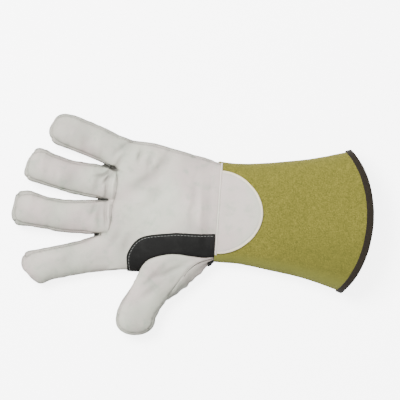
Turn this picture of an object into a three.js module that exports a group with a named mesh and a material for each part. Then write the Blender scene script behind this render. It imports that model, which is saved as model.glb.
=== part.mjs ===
// A TIG welding glove for the left hand, lying on its back with the palm up.
// Millimetres. +Z is up, the fingers point along -X, the cuff opens along +X, and the
// thumb lies on the -Y side. The glove is a size 10, 360 mm long.
//
// The hand is one skin of points, worked out from tables of its outline, and the seams
// divide it into leather panels. Each panel is then given its thickness inwards. The cuff,
// its binding, the wrist welt and the patches are laid on the same surfaces.

import * as THREE from 'three';

// Driving dimensions.
const handLeather = 1.2;
const cuffLeather = 1.6;
const patchLeather = 1.1;
const tapeThickness = 1.0;
const tapeWidth = 5.6;
const weltRadius = 1.25;
const clearance = 0.3;
const seamTrim = 0.3;       // each panel stops this far short of the seam line
const sideInset = 2;        // how far a seam lies inside the outline, seen from above
const wristX = 28.3;
const palmEnd = 26.9;       // the palm leather stops here, and the welt fills the seam
const cuffStart = 30.1;
const wristBow = 7;         // on the back, the wrist seam bows towards the fingers by this
const hemX = 180.2;         // the hem's furthest point
const hemCurve = 0.005;     // the hem falls back by this times the offset squared
const outlineCentre = { x: 2.383, y: -19.377 };

// Grid divisions.
const acrossFinger = 6;
const alongFinger = 5;
const alongTip = 3;
const roundCuff = 36;
const alongCuff = 8;

// How full each section is: 2 is an ellipse, and more is squarer.
const fingerFullness = 2.4;
const trunkFullness = 2.6;
const seamShare = 0.88;     // a finger's seam lies at this share of its half width

// Sections of the hand and cuff. left and right are the outline's y, mid is the height of
// the widest line, and up and down are the rise and the drop from it.
const trunkSections = [
  { x: -95, left: 78, right: -67, mid: 9, up: 12.5, down: 10.2 },
  { x: -80, left: 73.5, right: -65.3, mid: 9.4, up: 15, down: 10.6 },
  { x: -62, left: 66.8, right: -63.3, mid: 10, up: 17, down: 11.2 },
  { x: -40, left: 65, right: -62.6, mid: 10.5, up: 18.2, down: 11.8 },
  { x: -20, left: 60.8, right: -60, mid: 11, up: 18.2, down: 12.2 },
  { x: 0, left: 56.5, right: -55.5, mid: 11.5, up: 17.6, down: 12.8 },
  { x: 28.3, left: 51.5, right: -48.5, mid: 12, up: 17, down: 13.2 },
  { x: 60, left: 51.8, right: -50.4, mid: 13, up: 18.5, down: 14.3 },
  { x: 104, left: 57.5, right: -56.3, mid: 15.5, up: 21, down: 17 },
  { x: 133, left: 64, right: -62.8, mid: 18, up: 23, down: 20 },
  { x: 155, left: 70.5, right: -69.6, mid: 20, up: 24.5, down: 22.2 },
  { x: 182, left: 79, right: -78, mid: 22, up: 26, down: 24.5 },
];

// Where neighbouring fingers meet, from the little finger to the index finger, with the
// outer edges first and last, and where the lines that carry on from them reach the wrist.
const knuckles = [
  { x: -76, y: 71.5, wristY: 51.5 },
  { x: -83, y: 38.5, wristY: 27 },
  { x: -82, y: 5.7, wristY: 3 },
  { x: -88.5, y: -29, wristY: -21 },
  { x: -80, y: -65.3, wristY: -44 },
];

// Outlines of the fingers from the base to the start of the tip, in sections: the left
// and right edge, the height of the widest line, the rise and drop, and how far the
// section is lifted. The first section lies on the knuckle points.
const fingers = [
  {
    name: 'little', tip: { length: 24, leftFullness: 2.8, rightFullness: 3 },
    leftOpen: true, rightOpen: false,
    sections: [
      { lx: -76, ly: 71.5, rx: -83, ry: 38.5, mid: 9.2, up: 12.2, down: 10.4, lift: 0 },
      { lx: -89, ly: 76.7, rx: -96, ry: 44, mid: 9, up: 12, down: 10.2, lift: 0.3 },
      { lx: -103, ly: 81.6, rx: -111.5, ry: 49.3, mid: 9, up: 11.6, down: 10, lift: 1.4 },
      { lx: -116, ly: 85.8, rx: -126.5, ry: 54, mid: 9, up: 11, down: 9.8, lift: 3.6 },
    ],
  },
  {
    name: 'ring', tip: { length: 16.5, leftFullness: 2.6, rightFullness: 3 },
    leftOpen: false, rightOpen: false,
    sections: [
      { lx: -83, ly: 38.5, rx: -82, ry: 5.7, mid: 9.2, up: 12.4, down: 10.4, lift: 0 },
      { lx: -98, ly: 40.9, rx: -100, ry: 7, mid: 9, up: 12.2, down: 10.2, lift: 0.2 },
      { lx: -117, ly: 42.2, rx: -121, ry: 9.7, mid: 9, up: 12, down: 10, lift: 1.2 },
      { lx: -134, ly: 46, rx: -139.5, ry: 14, mid: 9, up: 11.6, down: 10, lift: 3.2 },
      { lx: -147, ly: 50.6, rx: -152.5, ry: 17.6, mid: 9, up: 11, down: 9.8, lift: 5.4 },
    ],
  },
  {
    name: 'middle', tip: { length: 17.8, leftFullness: 2.8, rightFullness: 3.2 },
    leftOpen: false, rightOpen: false,
    sections: [
      { lx: -82, ly: 5.7, rx: -88.5, ry: -29, mid: 9.2, up: 12.6, down: 10.4, lift: 0 },
      { lx: -102, ly: 4.1, rx: -104.5, ry: -30, mid: 9, up: 12.4, down: 10.2, lift: 0.2 },
      { lx: -122, ly: 3.3, rx: -124, ry: -29.7, mid: 9, up: 12.2, down: 10, lift: 1 },
      { lx: -141, ly: 4.8, rx: -143, ry: -27.4, mid: 9, up: 11.8, down: 10, lift: 2.8 },
      { lx: -158, ly: 8.1, rx: -160, ry: -26, mid: 9, up: 11.2, down: 9.8, lift: 5 },
    ],
  },
  {
    name: 'index', tip: { length: 19.6, leftFullness: 2.5, rightFullness: 1.6 },
    leftOpen: false, rightOpen: true,
    sections: [
      { lx: -88.5, ly: -29, rx: -80, ry: -65.3, mid: 9.2, up: 12.6, down: 10.4, lift: 0 },
      { lx: -105, ly: -35.5, rx: -97, ry: -68.5, mid: 9, up: 12.4, down: 10.2, lift: 0.2 },
      { lx: -121, ly: -40.6, rx: -113, ry: -72.4, mid: 9, up: 12, down: 10, lift: 1 },
      { lx: -137, ly: -45.2, rx: -128.5, ry: -76.6, mid: 9, up: 11.6, down: 10, lift: 2.6 },
      { lx: -148, ly: -48.2, rx: -140, ry: -80.2, mid: 9, up: 11, down: 9.8, lift: 4 },
    ],
  },
];

// Rows of the palm and of the back of the hand, from the knuckles to the wrist. share is
// how far along the lines between the fingers the row lies. leftX and rightX are on the
// outline as far as the thumb, and from there frontX, frontY and backX, backY follow the
// seams round the thumb.
const thumbRow = 4;
const firstBowedRow = 7;
const handRows = [
  { share: 0, leftX: -76, frontX: -80, backX: -80 },
  { share: 0.06, leftX: -68, frontX: -72, backX: -61 },
  { share: 0.16, leftX: -57, frontX: -62, backX: -56 },
  { share: 0.27, leftX: -46, frontX: -53, backX: -51 },
  { share: 0.37, leftX: -36, frontX: -45.8, backX: -45.8 },
  { share: 0.47, leftX: -26, frontX: -40.5, frontY: -52, backX: -41, backY: -56.5 },
  { share: 0.57, leftX: -15, frontX: -30, frontY: -46.5, backX: -30, backY: -52 },
  { share: 0.68, leftX: -4, frontX: -14, frontY: -43, backX: -15, backY: -49.8 },
  { share: 0.79, leftX: 6, frontX: 3, frontY: -44, backX: 2, backY: -49 },
  { share: 0.9, leftX: 17, frontX: 16, frontY: -44.7, backX: 15, backY: -48 },
  { share: 1, leftX: palmEnd, frontX: palmEnd, frontY: -44, backX: palmEnd, backY: -46.5 },
];

// The seam across the roots of the ring and middle fingers. It replaces the first row of
// the palm there, and the next rows follow it by the given shares.
const frontSeam = [
  { y: -28.9, x: -86.2 },
  { y: -27, x: -82.2 },
  { y: -24, x: -79.5 },
  { y: -15.3, x: -77.9 },
  { y: -4.3, x: -78 },
  { y: 4, x: -77.4 },
  { y: 12, x: -75.1 },
  { y: 21, x: -74.2 },
  { y: 30, x: -74.9 },
  { y: 38.5, x: -77.2 },
];
const seamFollow = [0, 1, 0.55, 0.1];
const seamFade = 5;         // beyond the seam's ends the rows return within this length

// The thumb, from its opening in the hand to the start of its tip. seamX and seamY are the
// seam on the palm side, beyond which the back leather of the thumb shows.
const thumbTip = { length: 17, leftFullness: 2.3, rightFullness: 2.3 };
const thumbSections = [
  { lx: -45.8, ly: -63, rx: 27.5, ry: -47, seamX: 26.9, seamY: -44, mid: 11, up: 14, down: 12, lift: 0 },
  { lx: -49.5, ly: -71, rx: 17.5, ry: -55.5, seamX: 13, seamY: -49, mid: 11, up: 15, down: 12, lift: 0.3 },
  { lx: -54, ly: -80, rx: 7.5, ry: -67.5, seamX: 3.5, seamY: -57, mid: 11, up: 14.6, down: 12, lift: 0.8 },
  { lx: -58.5, ly: -88, rx: -6, ry: -80, seamX: -6, seamY: -71, mid: 10.8, up: 14, down: 11.8, lift: 1.6 },
  { lx: -62.5, ly: -95, rx: -17, ry: -89.5, seamX: -17, seamY: -88, mid: 10.5, up: 13.4, down: 11.4, lift: 2.6 },
  { lx: -65.6, ly: -103.5, rx: -23.5, ry: -100, seamX: -25, seamY: -99.5, mid: 10.2, up: 12.8, down: 11, lift: 3.6 },
  { lx: -66.8, ly: -111.5, rx: -27.5, ry: -109.5, seamX: -29.4, seamY: -109.4, mid: 10, up: 12, down: 10.8, lift: 4.6 },
];

// The black reinforcement round the thumb's opening: its outer edge beside each row of the
// thumb seam, on the palm side and on the back.
const strapRows = [
  { frontX: -58.5, backX: -58.5 },
  { frontX: -58.8, frontY: -45.5, backX: -52, backY: -49.5 },
  { frontX: -46.5, frontY: -29.5, backX: -38, backY: -38.5 },
  { frontX: -16, frontY: -23.2, backX: -16, backY: -32.5 },
  { frontX: 2, frontY: -22.5, backX: 2, backY: -31.5 },
  { frontX: 15, frontY: -22, backX: 15, backY: -32.5 },
  { frontX: 26.6, frontY: -21, backX: 21.8, backY: -34 },
];
const acrossStrap = 4;
const strapSteps = 3;       // grid rows for each row of the table

// The half-moon patch on the cuff, below the palm.
const moon = { x: 30.6, y: 1, reach: 42, halfWidth: 42.5 };

// Soft dents and folds of the palm leather: the middle, the direction in degrees, the
// reach along and across it, and the depth.
const palmFolds = [
  { x: -66, y: 52, turn: 75, along: 16, across: 5, depth: 1.2 },
  { x: -50, y: 50, turn: 80, along: 9, across: 5, depth: 1.1 },
  { x: -34, y: 36, turn: 50, along: 26, across: 7, depth: 1.3 },
  { x: -58, y: 14, turn: 20, along: 22, across: 8, depth: 0.8 },
  { x: 16, y: -2, turn: 90, along: 30, across: 5, depth: 0.8 },
];

// Gathers of the thumb's back leather, beside the seam on its outer side: every second row
// of the grid stands out and the others stand back.
const thumbGather = 0.7;
const alongThumb = 12;

const lerp = THREE.MathUtils.lerp;
const smooth = (value, low, high) => THREE.MathUtils.smoothstep(value, low, high);

// The profile across a section: 1 in the middle, 0 at the edge.
function dome(share, fullness) {
  return Math.pow(Math.max(0, 1 - Math.pow(Math.min(1, Math.abs(share)), fullness)), 1 / fullness);
}

// Grid lines crowd towards the edges, where the leather turns down.
const crowding = THREE.MathUtils.degToRad(72);
const crowd = (t) => Math.sin(t * crowding) / Math.sin(crowding);

// Smooth interpolation of one column of a table, at a place from 0 to its last row.
function column(rows, key, place) {
  const last = rows.length - 1;
  const row = Math.min(last - 1, Math.max(0, Math.floor(place)));
  const at = (i) => rows[Math.min(last, Math.max(0, i))][key];
  const [a, b, c, d] = [at(row - 1), at(row), at(row + 1), at(row + 2)];
  const f = place - row;
  return b + 0.5 * f * (c - a + f * (2 * a - 5 * b + 4 * c - d + f * (3 * (b - c) + d - a)));
}

// The hand and cuff as one hollow trunk.
function trunkAt(x) {
  const last = trunkSections.length - 1;
  let row = 0;
  while (row < last - 1 && trunkSections[row + 1].x < x) row += 1;
  const span = trunkSections[row + 1].x - trunkSections[row].x;
  const place = row + THREE.MathUtils.clamp((x - trunkSections[row].x) / span, 0, 1);
  const section = {};
  for (const key of ['left', 'right', 'mid', 'up', 'down']) {
    section[key] = column(trunkSections, key, place);
  }
  section.centre = (section.left + section.right) / 2;
  section.half = (section.left - section.right) / 2;
  return section;
}

function foldDepth(x, y) {
  let depth = 0;
  for (const fold of palmFolds) {
    const turn = THREE.MathUtils.degToRad(fold.turn);
    const [dx, dy] = [x - fold.x, y - fold.y];
    const along = (dx * Math.cos(turn) + dy * Math.sin(turn)) / fold.along;
    const across = (dy * Math.cos(turn) - dx * Math.sin(turn)) / fold.across;
    depth += fold.depth * Math.exp(-along * along - across * across);
  }
  return depth;
}

// The x of the knuckle line at a given y.
function knuckleX(y) {
  let i = 0;
  while (i < knuckles.length - 2 && knuckles[i + 1].y > y) i += 1;
  const [a, b] = [knuckles[i], knuckles[i + 1]];
  return lerp(a.x, b.x, THREE.MathUtils.clamp((y - a.y) / (b.y - a.y), 0, 1));
}

// Two strips meet in a sharp valley at share 1. Taking k exp((share - 1) / k) from the
// share levels it there, over a width of about k.
function levelled(share, softness) {
  const k = Math.max(softness, 0.001);
  const size = Math.abs(share);
  return size - k * Math.exp((size - 1) / k);
}

// The height that the fingers' own rounded tops would have if they ran on into the hand.
function fingerRidge(x, y, side) {
  const trunk = trunkAt(x);
  const line = (i) => {
    if (i === 0) return trunk.left - sideInset;
    if (i === knuckles.length - 1) return trunk.right + sideInset;
    return lerp(knuckles[i].y, knuckles[i].wristY, (x - knuckles[i].x) / (wristX - knuckles[i].x));
  };
  let i = 0;
  while (i < fingers.length - 1 && line(i + 1) > y) i += 1;
  const [left, right] = [line(i), line(i + 1)];
  const share = THREE.MathUtils.clamp((y - (left + right) / 2) / ((left - right) / 2), -1, 1);
  const base = fingers[i].sections[0];
  const past = x - knuckleX(y);
  const size = levelled(share, 0.3 * smooth(past, 1, 14)) * (1 - 0.3 * smooth(past, 0, 16));
  const rise = dome(size * seamShare, fingerFullness);
  return side > 0 ? base.mid + base.up * rise : base.mid - base.down * rise;
}

// Under the strap on the back, the hand lies higher by the strap's thickness.
function strapRest(x, y) {
  return (patchLeather + 3.2 * clearance) * smooth(x, -75, -60) * smooth(-y, 22, 36);
}

const knuckleBlend = 30; // over this length the fingers' ridges fade into the hand

function handHeight(x, y, side) {
  const trunk = trunkAt(x);
  const rise = dome((y - trunk.centre) / trunk.half, trunkFullness);
  const hand = side > 0 ? trunk.mid + trunk.up * rise : trunk.mid - trunk.down * rise;
  const share = smooth(x - knuckleX(y), 0, knuckleBlend);
  const height = lerp(fingerRidge(x, y, side), hand, share);
  if (side < 0) return Math.max(strapRest(x, y), height);
  return height - foldDepth(x, y) * share * smooth(rise, 0.3, 0.8);
}

const handPoint = (x, y, side) => new THREE.Vector3(x, y, handHeight(x, y, side));

// Maps a square's grid onto a half disc, so that a rounded end needs no pole.
function halfDisc(t, v) {
  return [t * Math.sqrt(1 - v * v / 2), v * Math.sqrt(1 - t * t / 2)];
}

// One tube with a rounded end, such as a finger. It gives rows of points for the palm side,
// the back, and the band between them, which runs up one side, round the tip and back.
function limb({ sections, tip, leftOpen, rightOpen, seam, base, along = alongFinger }) {
  const last = sections.length - 1;
  const floorZ = 0;

  function sectionAt(place) {
    const at = (key) => column(sections, key, place);
    const left = new THREE.Vector2(at('lx'), at('ly'));
    const right = new THREE.Vector2(at('rx'), at('ry'));
    const across = left.clone().sub(right);
    const half = across.length() / 2;
    const opening = smooth(place / last, 0, 0.3);
    const leftInset = sideInset * (leftOpen ? 1 : opening);
    const rightInset = sideInset * (rightOpen ? 1 : opening);
    const line = seam ? new THREE.Vector2(at('seamX'), at('seamY')) : null;
    const lineShare = line ? 1 - line.distanceTo(right) / half : 1;
    return {
      left, right, half, leftInset, rightInset,
      unit: across.clone().divideScalar(2 * half),
      mid: at('mid') + at('lift'), up: at('up'), down: at('down'),
      seam: line,
      rightShare: THREE.MathUtils.clamp(lineShare, 0.5, seamShare),
    };
  }

  const end = sectionAt(last);
  const axis = new THREE.Vector2(end.unit.y, -end.unit.x).multiplyScalar(-1);
  const before = sectionAt(last - 1);
  const forward = end.left.clone().add(end.right).sub(before.left).sub(before.right);
  if (axis.dot(forward) < 0) axis.multiplyScalar(-1);

  function heightOf(section, share, side) {
    const rise = dome(share, fingerFullness);
    if (side > 0) return section.mid + section.up * rise;
    return Math.max(floorZ, section.mid - section.down * rise);
  }

  // A point of the palm side or back of a straight section, t from 1 on the left to -1.
  function facePoint(section, t, side) {
    const leftEdge = section.left.clone().addScaledVector(section.unit, -section.leftInset);
    let rightEdge = section.right.clone().addScaledVector(section.unit, section.rightInset);
    if (section.seam && side > 0) rightEdge = section.seam;
    const way = (crowd(t) + 1) / 2;
    const spot = rightEdge.clone().lerp(leftEdge, way);
    const share = lerp(side > 0 ? -section.rightShare : -seamShare, seamShare, way);
    return new THREE.Vector3(spot.x, spot.y, heightOf(section, share, side));
  }

  // A point of the tip: X across and V along on the unit half disc, reach from 0 to 1.
  function tipSpot(X, V, reach, bulge) {
    const length = Math.hypot(X, V) || 1;
    const [dx, dv] = [X / length, V / length];
    const fullness = dx > 0 ? tip.leftFullness : tip.rightFullness;
    const size = 1 / Math.pow(Math.pow(Math.abs(dx), fullness) + Math.pow(Math.abs(dv), fullness), 1 / fullness);
    const inner = {
      half: end.half - (end.leftInset + end.rightInset) / 2,
      length: tip.length - sideInset,
    };
    const centre = end.left.clone().add(end.right).divideScalar(2)
      .addScaledVector(end.unit, (end.rightInset - end.leftInset) / 2);
    return centre
      .addScaledVector(end.unit, dx * size * (inner.half * reach + sideInset * bulge))
      .addScaledVector(axis, dv * size * (inner.length * reach + sideInset * bulge));
  }

  function face(side) {
    const rows = [];
    for (let k = 0; k <= along; k += 1) {
      const section = sectionAt(last * k / along);
      const row = [];
      for (let j = 0; j <= acrossFinger; j += 1) {
        row.push(facePoint(section, 1 - 2 * j / acrossFinger, side));
      }
      rows.push(row);
    }
    for (let m = 1; m <= alongTip; m += 1) {
      const row = [];
      for (let j = 0; j <= acrossFinger; j += 1) {
        const [X, V] = halfDisc(1 - 2 * j / acrossFinger, m / alongTip);
        const reach = crowd(Math.hypot(X, V));
        const spot = tipSpot(X, V, reach, 0);
        row.push(new THREE.Vector3(spot.x, spot.y, heightOf(end, reach * seamShare, side)));
      }
      rows.push(row);
    }
    return rows;
  }

  const front = face(1);
  const back = face(-1);

  // Points of the band on the widest line, in the order of the front's edge.
  function rim() {
    const left = [];
    const right = [];
    const round = [];
    for (let k = 0; k <= along; k += 1) {
      const section = sectionAt(last * k / along);
      const leftRim = section.left.clone();
      const gather = seam ? thumbGather * (k % 2 ? 1 : -1) * smooth(along - k, 1, 4) : 0;
      const rightRim = section.right.clone().addScaledVector(section.unit, -gather);
      left.push(new THREE.Vector3(leftRim.x, leftRim.y, section.mid));
      right.push(new THREE.Vector3(rightRim.x, rightRim.y, section.mid));
    }
    const rimAt = (t, v) => {
      const [X, V] = halfDisc(t, v);
      const spot = tipSpot(X, V, 1, 1);
      return new THREE.Vector3(spot.x, spot.y, end.mid);
    };
    for (let m = 1; m <= alongTip; m += 1) {
      left.push(rimAt(1, m / alongTip));
      right.push(rimAt(-1, m / alongTip));
    }
    for (let j = 0; j <= acrossFinger; j += 1) round.push(rimAt(1 - 2 * j / acrossFinger, 1));
    return { left, right, round };
  }

  const edge = rim();
  const lastRow = front.length - 1;
  const strips = {
    left: front.map((row, k) => [row[0], edge.left[k], back[k][0]]),
    round: front[lastRow].map((point, j) => [point, edge.round[j], back[lastRow][j]]),
    right: front.map((row, k) => [row[acrossFinger], edge.right[k], back[k][acrossFinger]]),
  };

  // The rows near the base follow the opening that the limb grows from.
  if (base) {
    const move = (rows, target) => {
      const offsets = rows[0].map((point, j) => target[j].clone().sub(point));
      rows.forEach((row, k) => {
        const share = 1 - smooth(k / along, 0, 0.75);
        if (share > 0) row.forEach((point, j) => point.addScaledVector(offsets[j], share));
      });
    };
    move(front, base.front);
    move(back, base.back);
    move(strips.left.map((row) => [row[1]]), [base.left]);
    move(strips.right.map((row) => [row[1]]), [base.right]);
  }
  return { front, back, strips };
}

// Collects the faces of the skin, then gives each panel its thickness.
class Skin {
  constructor() {
    this.points = [];
    this.lookup = new Map();
    this.faces = [];
  }

  index(point) {
    const key = [point.x, point.y, point.z].map((value) => Math.round(value * 500)).join();
    if (!this.lookup.has(key)) {
      this.lookup.set(key, this.points.length);
      this.points.push(point.clone());
    }
    return this.lookup.get(key);
  }

  // Rows of points; turned makes the faces look the other way.
  grid(panel, rows, turned = false) {
    for (let k = 0; k + 1 < rows.length; k += 1) {
      for (let j = 0; j + 1 < rows[k].length; j += 1) {
        const [a, b] = [this.index(rows[k][j]), this.index(rows[k][j + 1])];
        const [c, d] = [this.index(rows[k + 1][j + 1]), this.index(rows[k + 1][j])];
        for (const face of [[a, b, c], [a, c, d]]) {
          if (new Set(face).size < 3) continue;
          this.faces.push({ panel, corners: turned ? face : [...face].reverse() });
        }
      }
    }
  }

  normals() {
    const normals = this.points.map(() => new THREE.Vector3());
    for (const { corners } of this.faces) {
      const [a, b, c] = corners.map((i) => this.points[i]);
      const normal = b.clone().sub(a).cross(c.clone().sub(a)).normalize();
      corners.forEach((corner, k) => {
        const [p, q, r] = [0, 1, 2].map((n) => this.points[corners[(k + n) % 3]]);
        const angle = q.clone().sub(p).angleTo(r.clone().sub(p));
        normals[corner].addScaledVector(normal, angle);
      });
    }
    return normals.map((normal) => normal.normalize());
  }

  // The panel's faces as a closed body, from outer to inner below the skin.
  body(panel, outer, inner, trim = seamTrim) {
    const normals = this.normals();
    const faces = this.faces.filter((face) => face.panel === panel).map((face) => face.corners);
    const edges = new Set();
    faces.forEach((f) => f.forEach((a, k) => edges.add(`${a},${f[(k + 1) % 3]}`)));
    const open = [...edges].map((edge) => edge.split(',').map(Number))
      .filter(([a, b]) => !edges.has(`${b},${a}`));

    // At an open edge the way inwards is square to the edge, in the plane of its face.
    const inward = new Map();
    open.flat().forEach((i) => inward.set(i, new THREE.Vector3()));
    for (const face of faces) {
      const [a, b, c] = face.map((i) => this.points[i]);
      const normal = b.clone().sub(a).cross(c.clone().sub(a)).normalize();
      face.forEach((i, k) => {
        const next = face[(k + 1) % 3];
        if (edges.has(`${next},${i}`)) return;
        const way = normal.clone().cross(this.points[next].clone().sub(this.points[i])).normalize();
        inward.get(i).add(way);
        inward.get(next).add(way);
      });
    }
    const used = [...new Set(faces.flat())];
    const place = new Map(used.map((i, k) => [i, k]));
    const positions = new Float32Array(used.length * 6);
    used.forEach((i, k) => {
      const point = this.points[i].clone();
      if (inward.has(i)) {
        const way = inward.get(i).projectOnPlane(normals[i]);
        const size = way.length();
        point.addScaledVector(way.normalize(), trim * Math.min(2, 2 / size));
        point.z = Math.max(point.z, 0);
      }
      point.clone().addScaledVector(normals[i], outer).toArray(positions, k * 3);
      point.addScaledVector(normals[i], inner).toArray(positions, (used.length + k) * 3);
    });
    const indices = [];
    for (const face of faces) {
      const [a, b, c] = face.map((i) => place.get(i));
      indices.push(a, b, c, c + used.length, b + used.length, a + used.length);
    }
    for (const [p, q] of open) {
      const [a, b] = [place.get(p), place.get(q)];
      indices.push(b, a, a + used.length, b, a + used.length, b + used.length);
    }
    const geometry = new THREE.BufferGeometry();
    geometry.setAttribute('position', new THREE.BufferAttribute(positions, 3));
    geometry.setIndex(indices);
    return geometry;
  }
}

// A closed tube of profile rings: each ring is a closed loop of points.
function ringBody(rings, closed) {
  const count = rings[0].length;
  const indices = [];
  const steps = closed ? rings.length : rings.length - 1;
  for (let k = 0; k < steps; k += 1) {
    for (let j = 0; j < count; j += 1) {
      const [a, b] = [k * count + j, k * count + (j + 1) % count];
      const next = ((k + 1) % rings.length) * count;
      const [c, d] = [next + (j + 1) % count, next + j];
      indices.push(a, b, c, a, c, d);
    }
  }
  if (!closed) {
    const end = (rings.length - 1) * count;
    for (let j = 1; j + 1 < count; j += 1) {
      indices.push(0, j + 1, j, end, end + j, end + j + 1);
    }
  }
  const geometry = new THREE.BufferGeometry();
  const flat = rings.flat().flatMap((point) => point.toArray());
  geometry.setAttribute('position', new THREE.Float32BufferAttribute(flat, 3));
  geometry.setIndex(indices);
  return geometry;
}

// On the back, the wrist seam lies this much nearer to the fingers.
function bowAt(x, y) {
  const trunk = trunkAt(x);
  return wristBow * smooth(dome((y - trunk.centre) / trunk.half, trunkFullness), 0.5, 1);
}

// How far a point of the palm's first row moves along X to lie on the fingers' front seam.
function seamShift({ x, y }) {
  const near = THREE.MathUtils.clamp(y, frontSeam[0].y, frontSeam.at(-1).y);
  let i = 0;
  while (i < frontSeam.length - 2 && frontSeam[i + 1].y < near) i += 1;
  const place = i + (near - frontSeam[i].y) / (frontSeam[i + 1].y - frontSeam[i].y);
  return (column(frontSeam, 'x', place) - x) * Math.exp(-Math.abs(y - near) / seamFade);
}

function handEdge(row, side) {
  const key = side > 0 ? 'front' : 'back';
  const x = row[`${key}X`];
  const y = row[`${key}Y`] ?? trunkAt(x).right + sideInset;
  return new THREE.Vector2(x, y);
}

// One row across the hand: four strips that carry on from the fingers.
function handRow(index, side) {
  const row = handRows[index];
  const line = (i) => {
    if (i === 0) return new THREE.Vector2(row.leftX, trunkAt(row.leftX).left - sideInset);
    if (i === knuckles.length - 1) return handEdge(row, side);
    const { x, y, wristY } = knuckles[i];
    return new THREE.Vector2(x, y).lerp(new THREE.Vector2(palmEnd, wristY), row.share);
  };
  const spots = [];
  for (let i = 0; i < fingers.length; i += 1) {
    const [left, right] = [line(i), line(i + 1)];
    for (let j = i ? 1 : 0; j <= acrossFinger; j += 1) {
      spots.push(right.clone().lerp(left, (crowd(1 - 2 * j / acrossFinger) + 1) / 2));
    }
  }
  return spots;
}

function buildHand(side, first) {
  const rows = handRows.slice(1).map((row, k) => handRow(k + 1, side));
  const shifts = rows[0].map(seamShift);
  rows.forEach((row, k) => row.forEach((spot, j) => {
    const follow = seamFollow[k + 1] ?? 0;
    const bowed = smooth(k + 1, firstBowedRow, handRows.length - 1);
    spot.x += side > 0 ? shifts[j] * follow : -bowAt(spot.x, spot.y) * bowed;
  }));
  return [first, ...rows.map((row) => row.map(({ x, y }) => handPoint(x, y, side)))];
}

function buildSkin() {
  const skin = new Skin();
  const limbs = fingers.map((finger) => limb(finger));

  // The palm and back of the hand start on the fingers' own first rows.
  const firstRow = (key) => limbs.flatMap((made, i) => (i ? made[key][0].slice(1) : made[key][0]));
  const palm = buildHand(1, firstRow('front'));
  const back = buildHand(-1, firstRow('back'));
  const outer = palm[0].length - 1;
  const strip = (rows, first, last) => rows.map((row) => row.slice(first * acrossFinger, last * acrossFinger + 1));

  skin.grid('palm', palm.slice(1), true);
  skin.grid('palm', strip(palm.slice(0, 2), 0, 1), true);
  skin.grid('finger_fronts', strip(palm.slice(0, 2), 1, 3), true);
  skin.grid('palm', strip(palm.slice(0, 2), 3, 4), true);
  skin.grid('hand_back', back.slice(1));
  skin.grid('hand_back', strip(back.slice(0, 2), 0, 3));
  skin.grid('palm', strip(back.slice(0, 2), 3, 4));

  const frontPanels = ['palm', 'finger_fronts', 'finger_fronts', 'palm'];
  const backPanels = ['hand_back', 'hand_back', 'hand_back', 'palm'];
  const leftPanels = ['hand_back', 'side_little_ring', 'side_ring_middle', 'side_middle_index'];
  const rightPanels = ['side_little_ring', 'side_ring_middle', 'side_middle_index', 'palm'];
  limbs.forEach((made, i) => {
    skin.grid(frontPanels[i], made.front);
    skin.grid(backPanels[i], made.back, true);
    skin.grid(leftPanels[i], made.strips.left, true);
    skin.grid(rightPanels[i], made.strips.right);
    skin.grid(backPanels[i], made.strips.round, true);
  });

  // The outer side of the hand, and the side between the index finger and the thumb.
  const rimPoint = (x, side) => {
    const trunk = trunkAt(x);
    return new THREE.Vector3(x, side > 0 ? trunk.left : trunk.right, trunk.mid);
  };
  const leftRows = palm.map((row, k) => [
    row[0], k ? rimPoint(handRows[k].leftX, 1) : limbs[0].strips.left[0][1], back[k][0],
  ]);
  skin.grid('hand_back', leftRows);
  const sideRows = palm.slice(0, thumbRow + 1).map((row, k) => {
    const middle = (row[outer].x + back[k][outer].x) / 2;
    return [row[outer], k ? rimPoint(middle, -1) : limbs[3].strips.right[0][1], back[k][outer]];
  });
  skin.grid('palm', sideRows, true);

  // The thumb grows from the opening between the palm and the back.
  const rootFront = palm.slice(thumbRow).map((row) => row[outer]);
  const rootBack = back.slice(thumbRow).map((row) => row[outer]);
  const wristSide = rootFront[acrossFinger].clone().lerp(rootBack[acrossFinger], 0.5);
  wristSide.y = trunkAt(palmEnd).right;
  const thumb = limb({
    sections: thumbSections, tip: thumbTip, leftOpen: true, rightOpen: true,
    seam: true, along: alongThumb,
    base: { front: rootFront, back: rootBack, left: sideRows[thumbRow][1], right: wristSide },
  });
  skin.grid('thumb_front', thumb.front);
  skin.grid('thumb_back', thumb.back, true);
  skin.grid('thumb_back', thumb.strips.left, true);
  skin.grid('thumb_back', thumb.strips.right);
  skin.grid('thumb_back', thumb.strips.round, true);
  return { skin, palm, back, outer, sideRows };
}

// The black strap lies on the hand round the thumb's opening, from the wrist on the palm
// side, round the crotch of the thumb, to the wrist on the back.
function buildStrap({ palm, back, outer, sideRows }) {
  // One row across the strap, at a place from 0 at the crotch to the last row at the wrist.
  const rowAt = (place, side) => {
    const k = Math.min(strapRows.length - 2, Math.floor(place));
    const edge = handEdge(strapRows[k], side).lerp(handEdge(strapRows[k + 1], side), place - k);
    const rows = (side > 0 ? palm : back).slice(thumbRow);
    const inner = rows[k][outer].clone().lerp(rows[k + 1][outer], place - k);
    const row = [inner];
    for (let j = 1; j <= acrossStrap; j += 1) {
      const share = j / acrossStrap;
      row.push(handPoint(lerp(inner.x, edge.x, share), lerp(inner.y, edge.y, share), side));
    }
    return row;
  };
  const count = (strapRows.length - 1) * strapSteps;
  const places = Array.from({ length: count + 1 }, (_, k) => k / strapSteps);
  const crotch = rowAt(0, 1).map(({ x }) => {
    const trunk = trunkAt(x);
    return new THREE.Vector3(x, trunk.right, trunk.mid);
  });
  crotch[0].copy(sideRows[thumbRow][1]);
  const front = places.map((place) => rowAt(place, 1)).reverse();
  const rows = [...front, crotch, ...places.map((place) => rowAt(place, -1))];
  const skin = new Skin();
  skin.grid('strap', rows, true);
  return skin.body('strap', clearance + patchLeather, clearance, 0.8);
}

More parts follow.
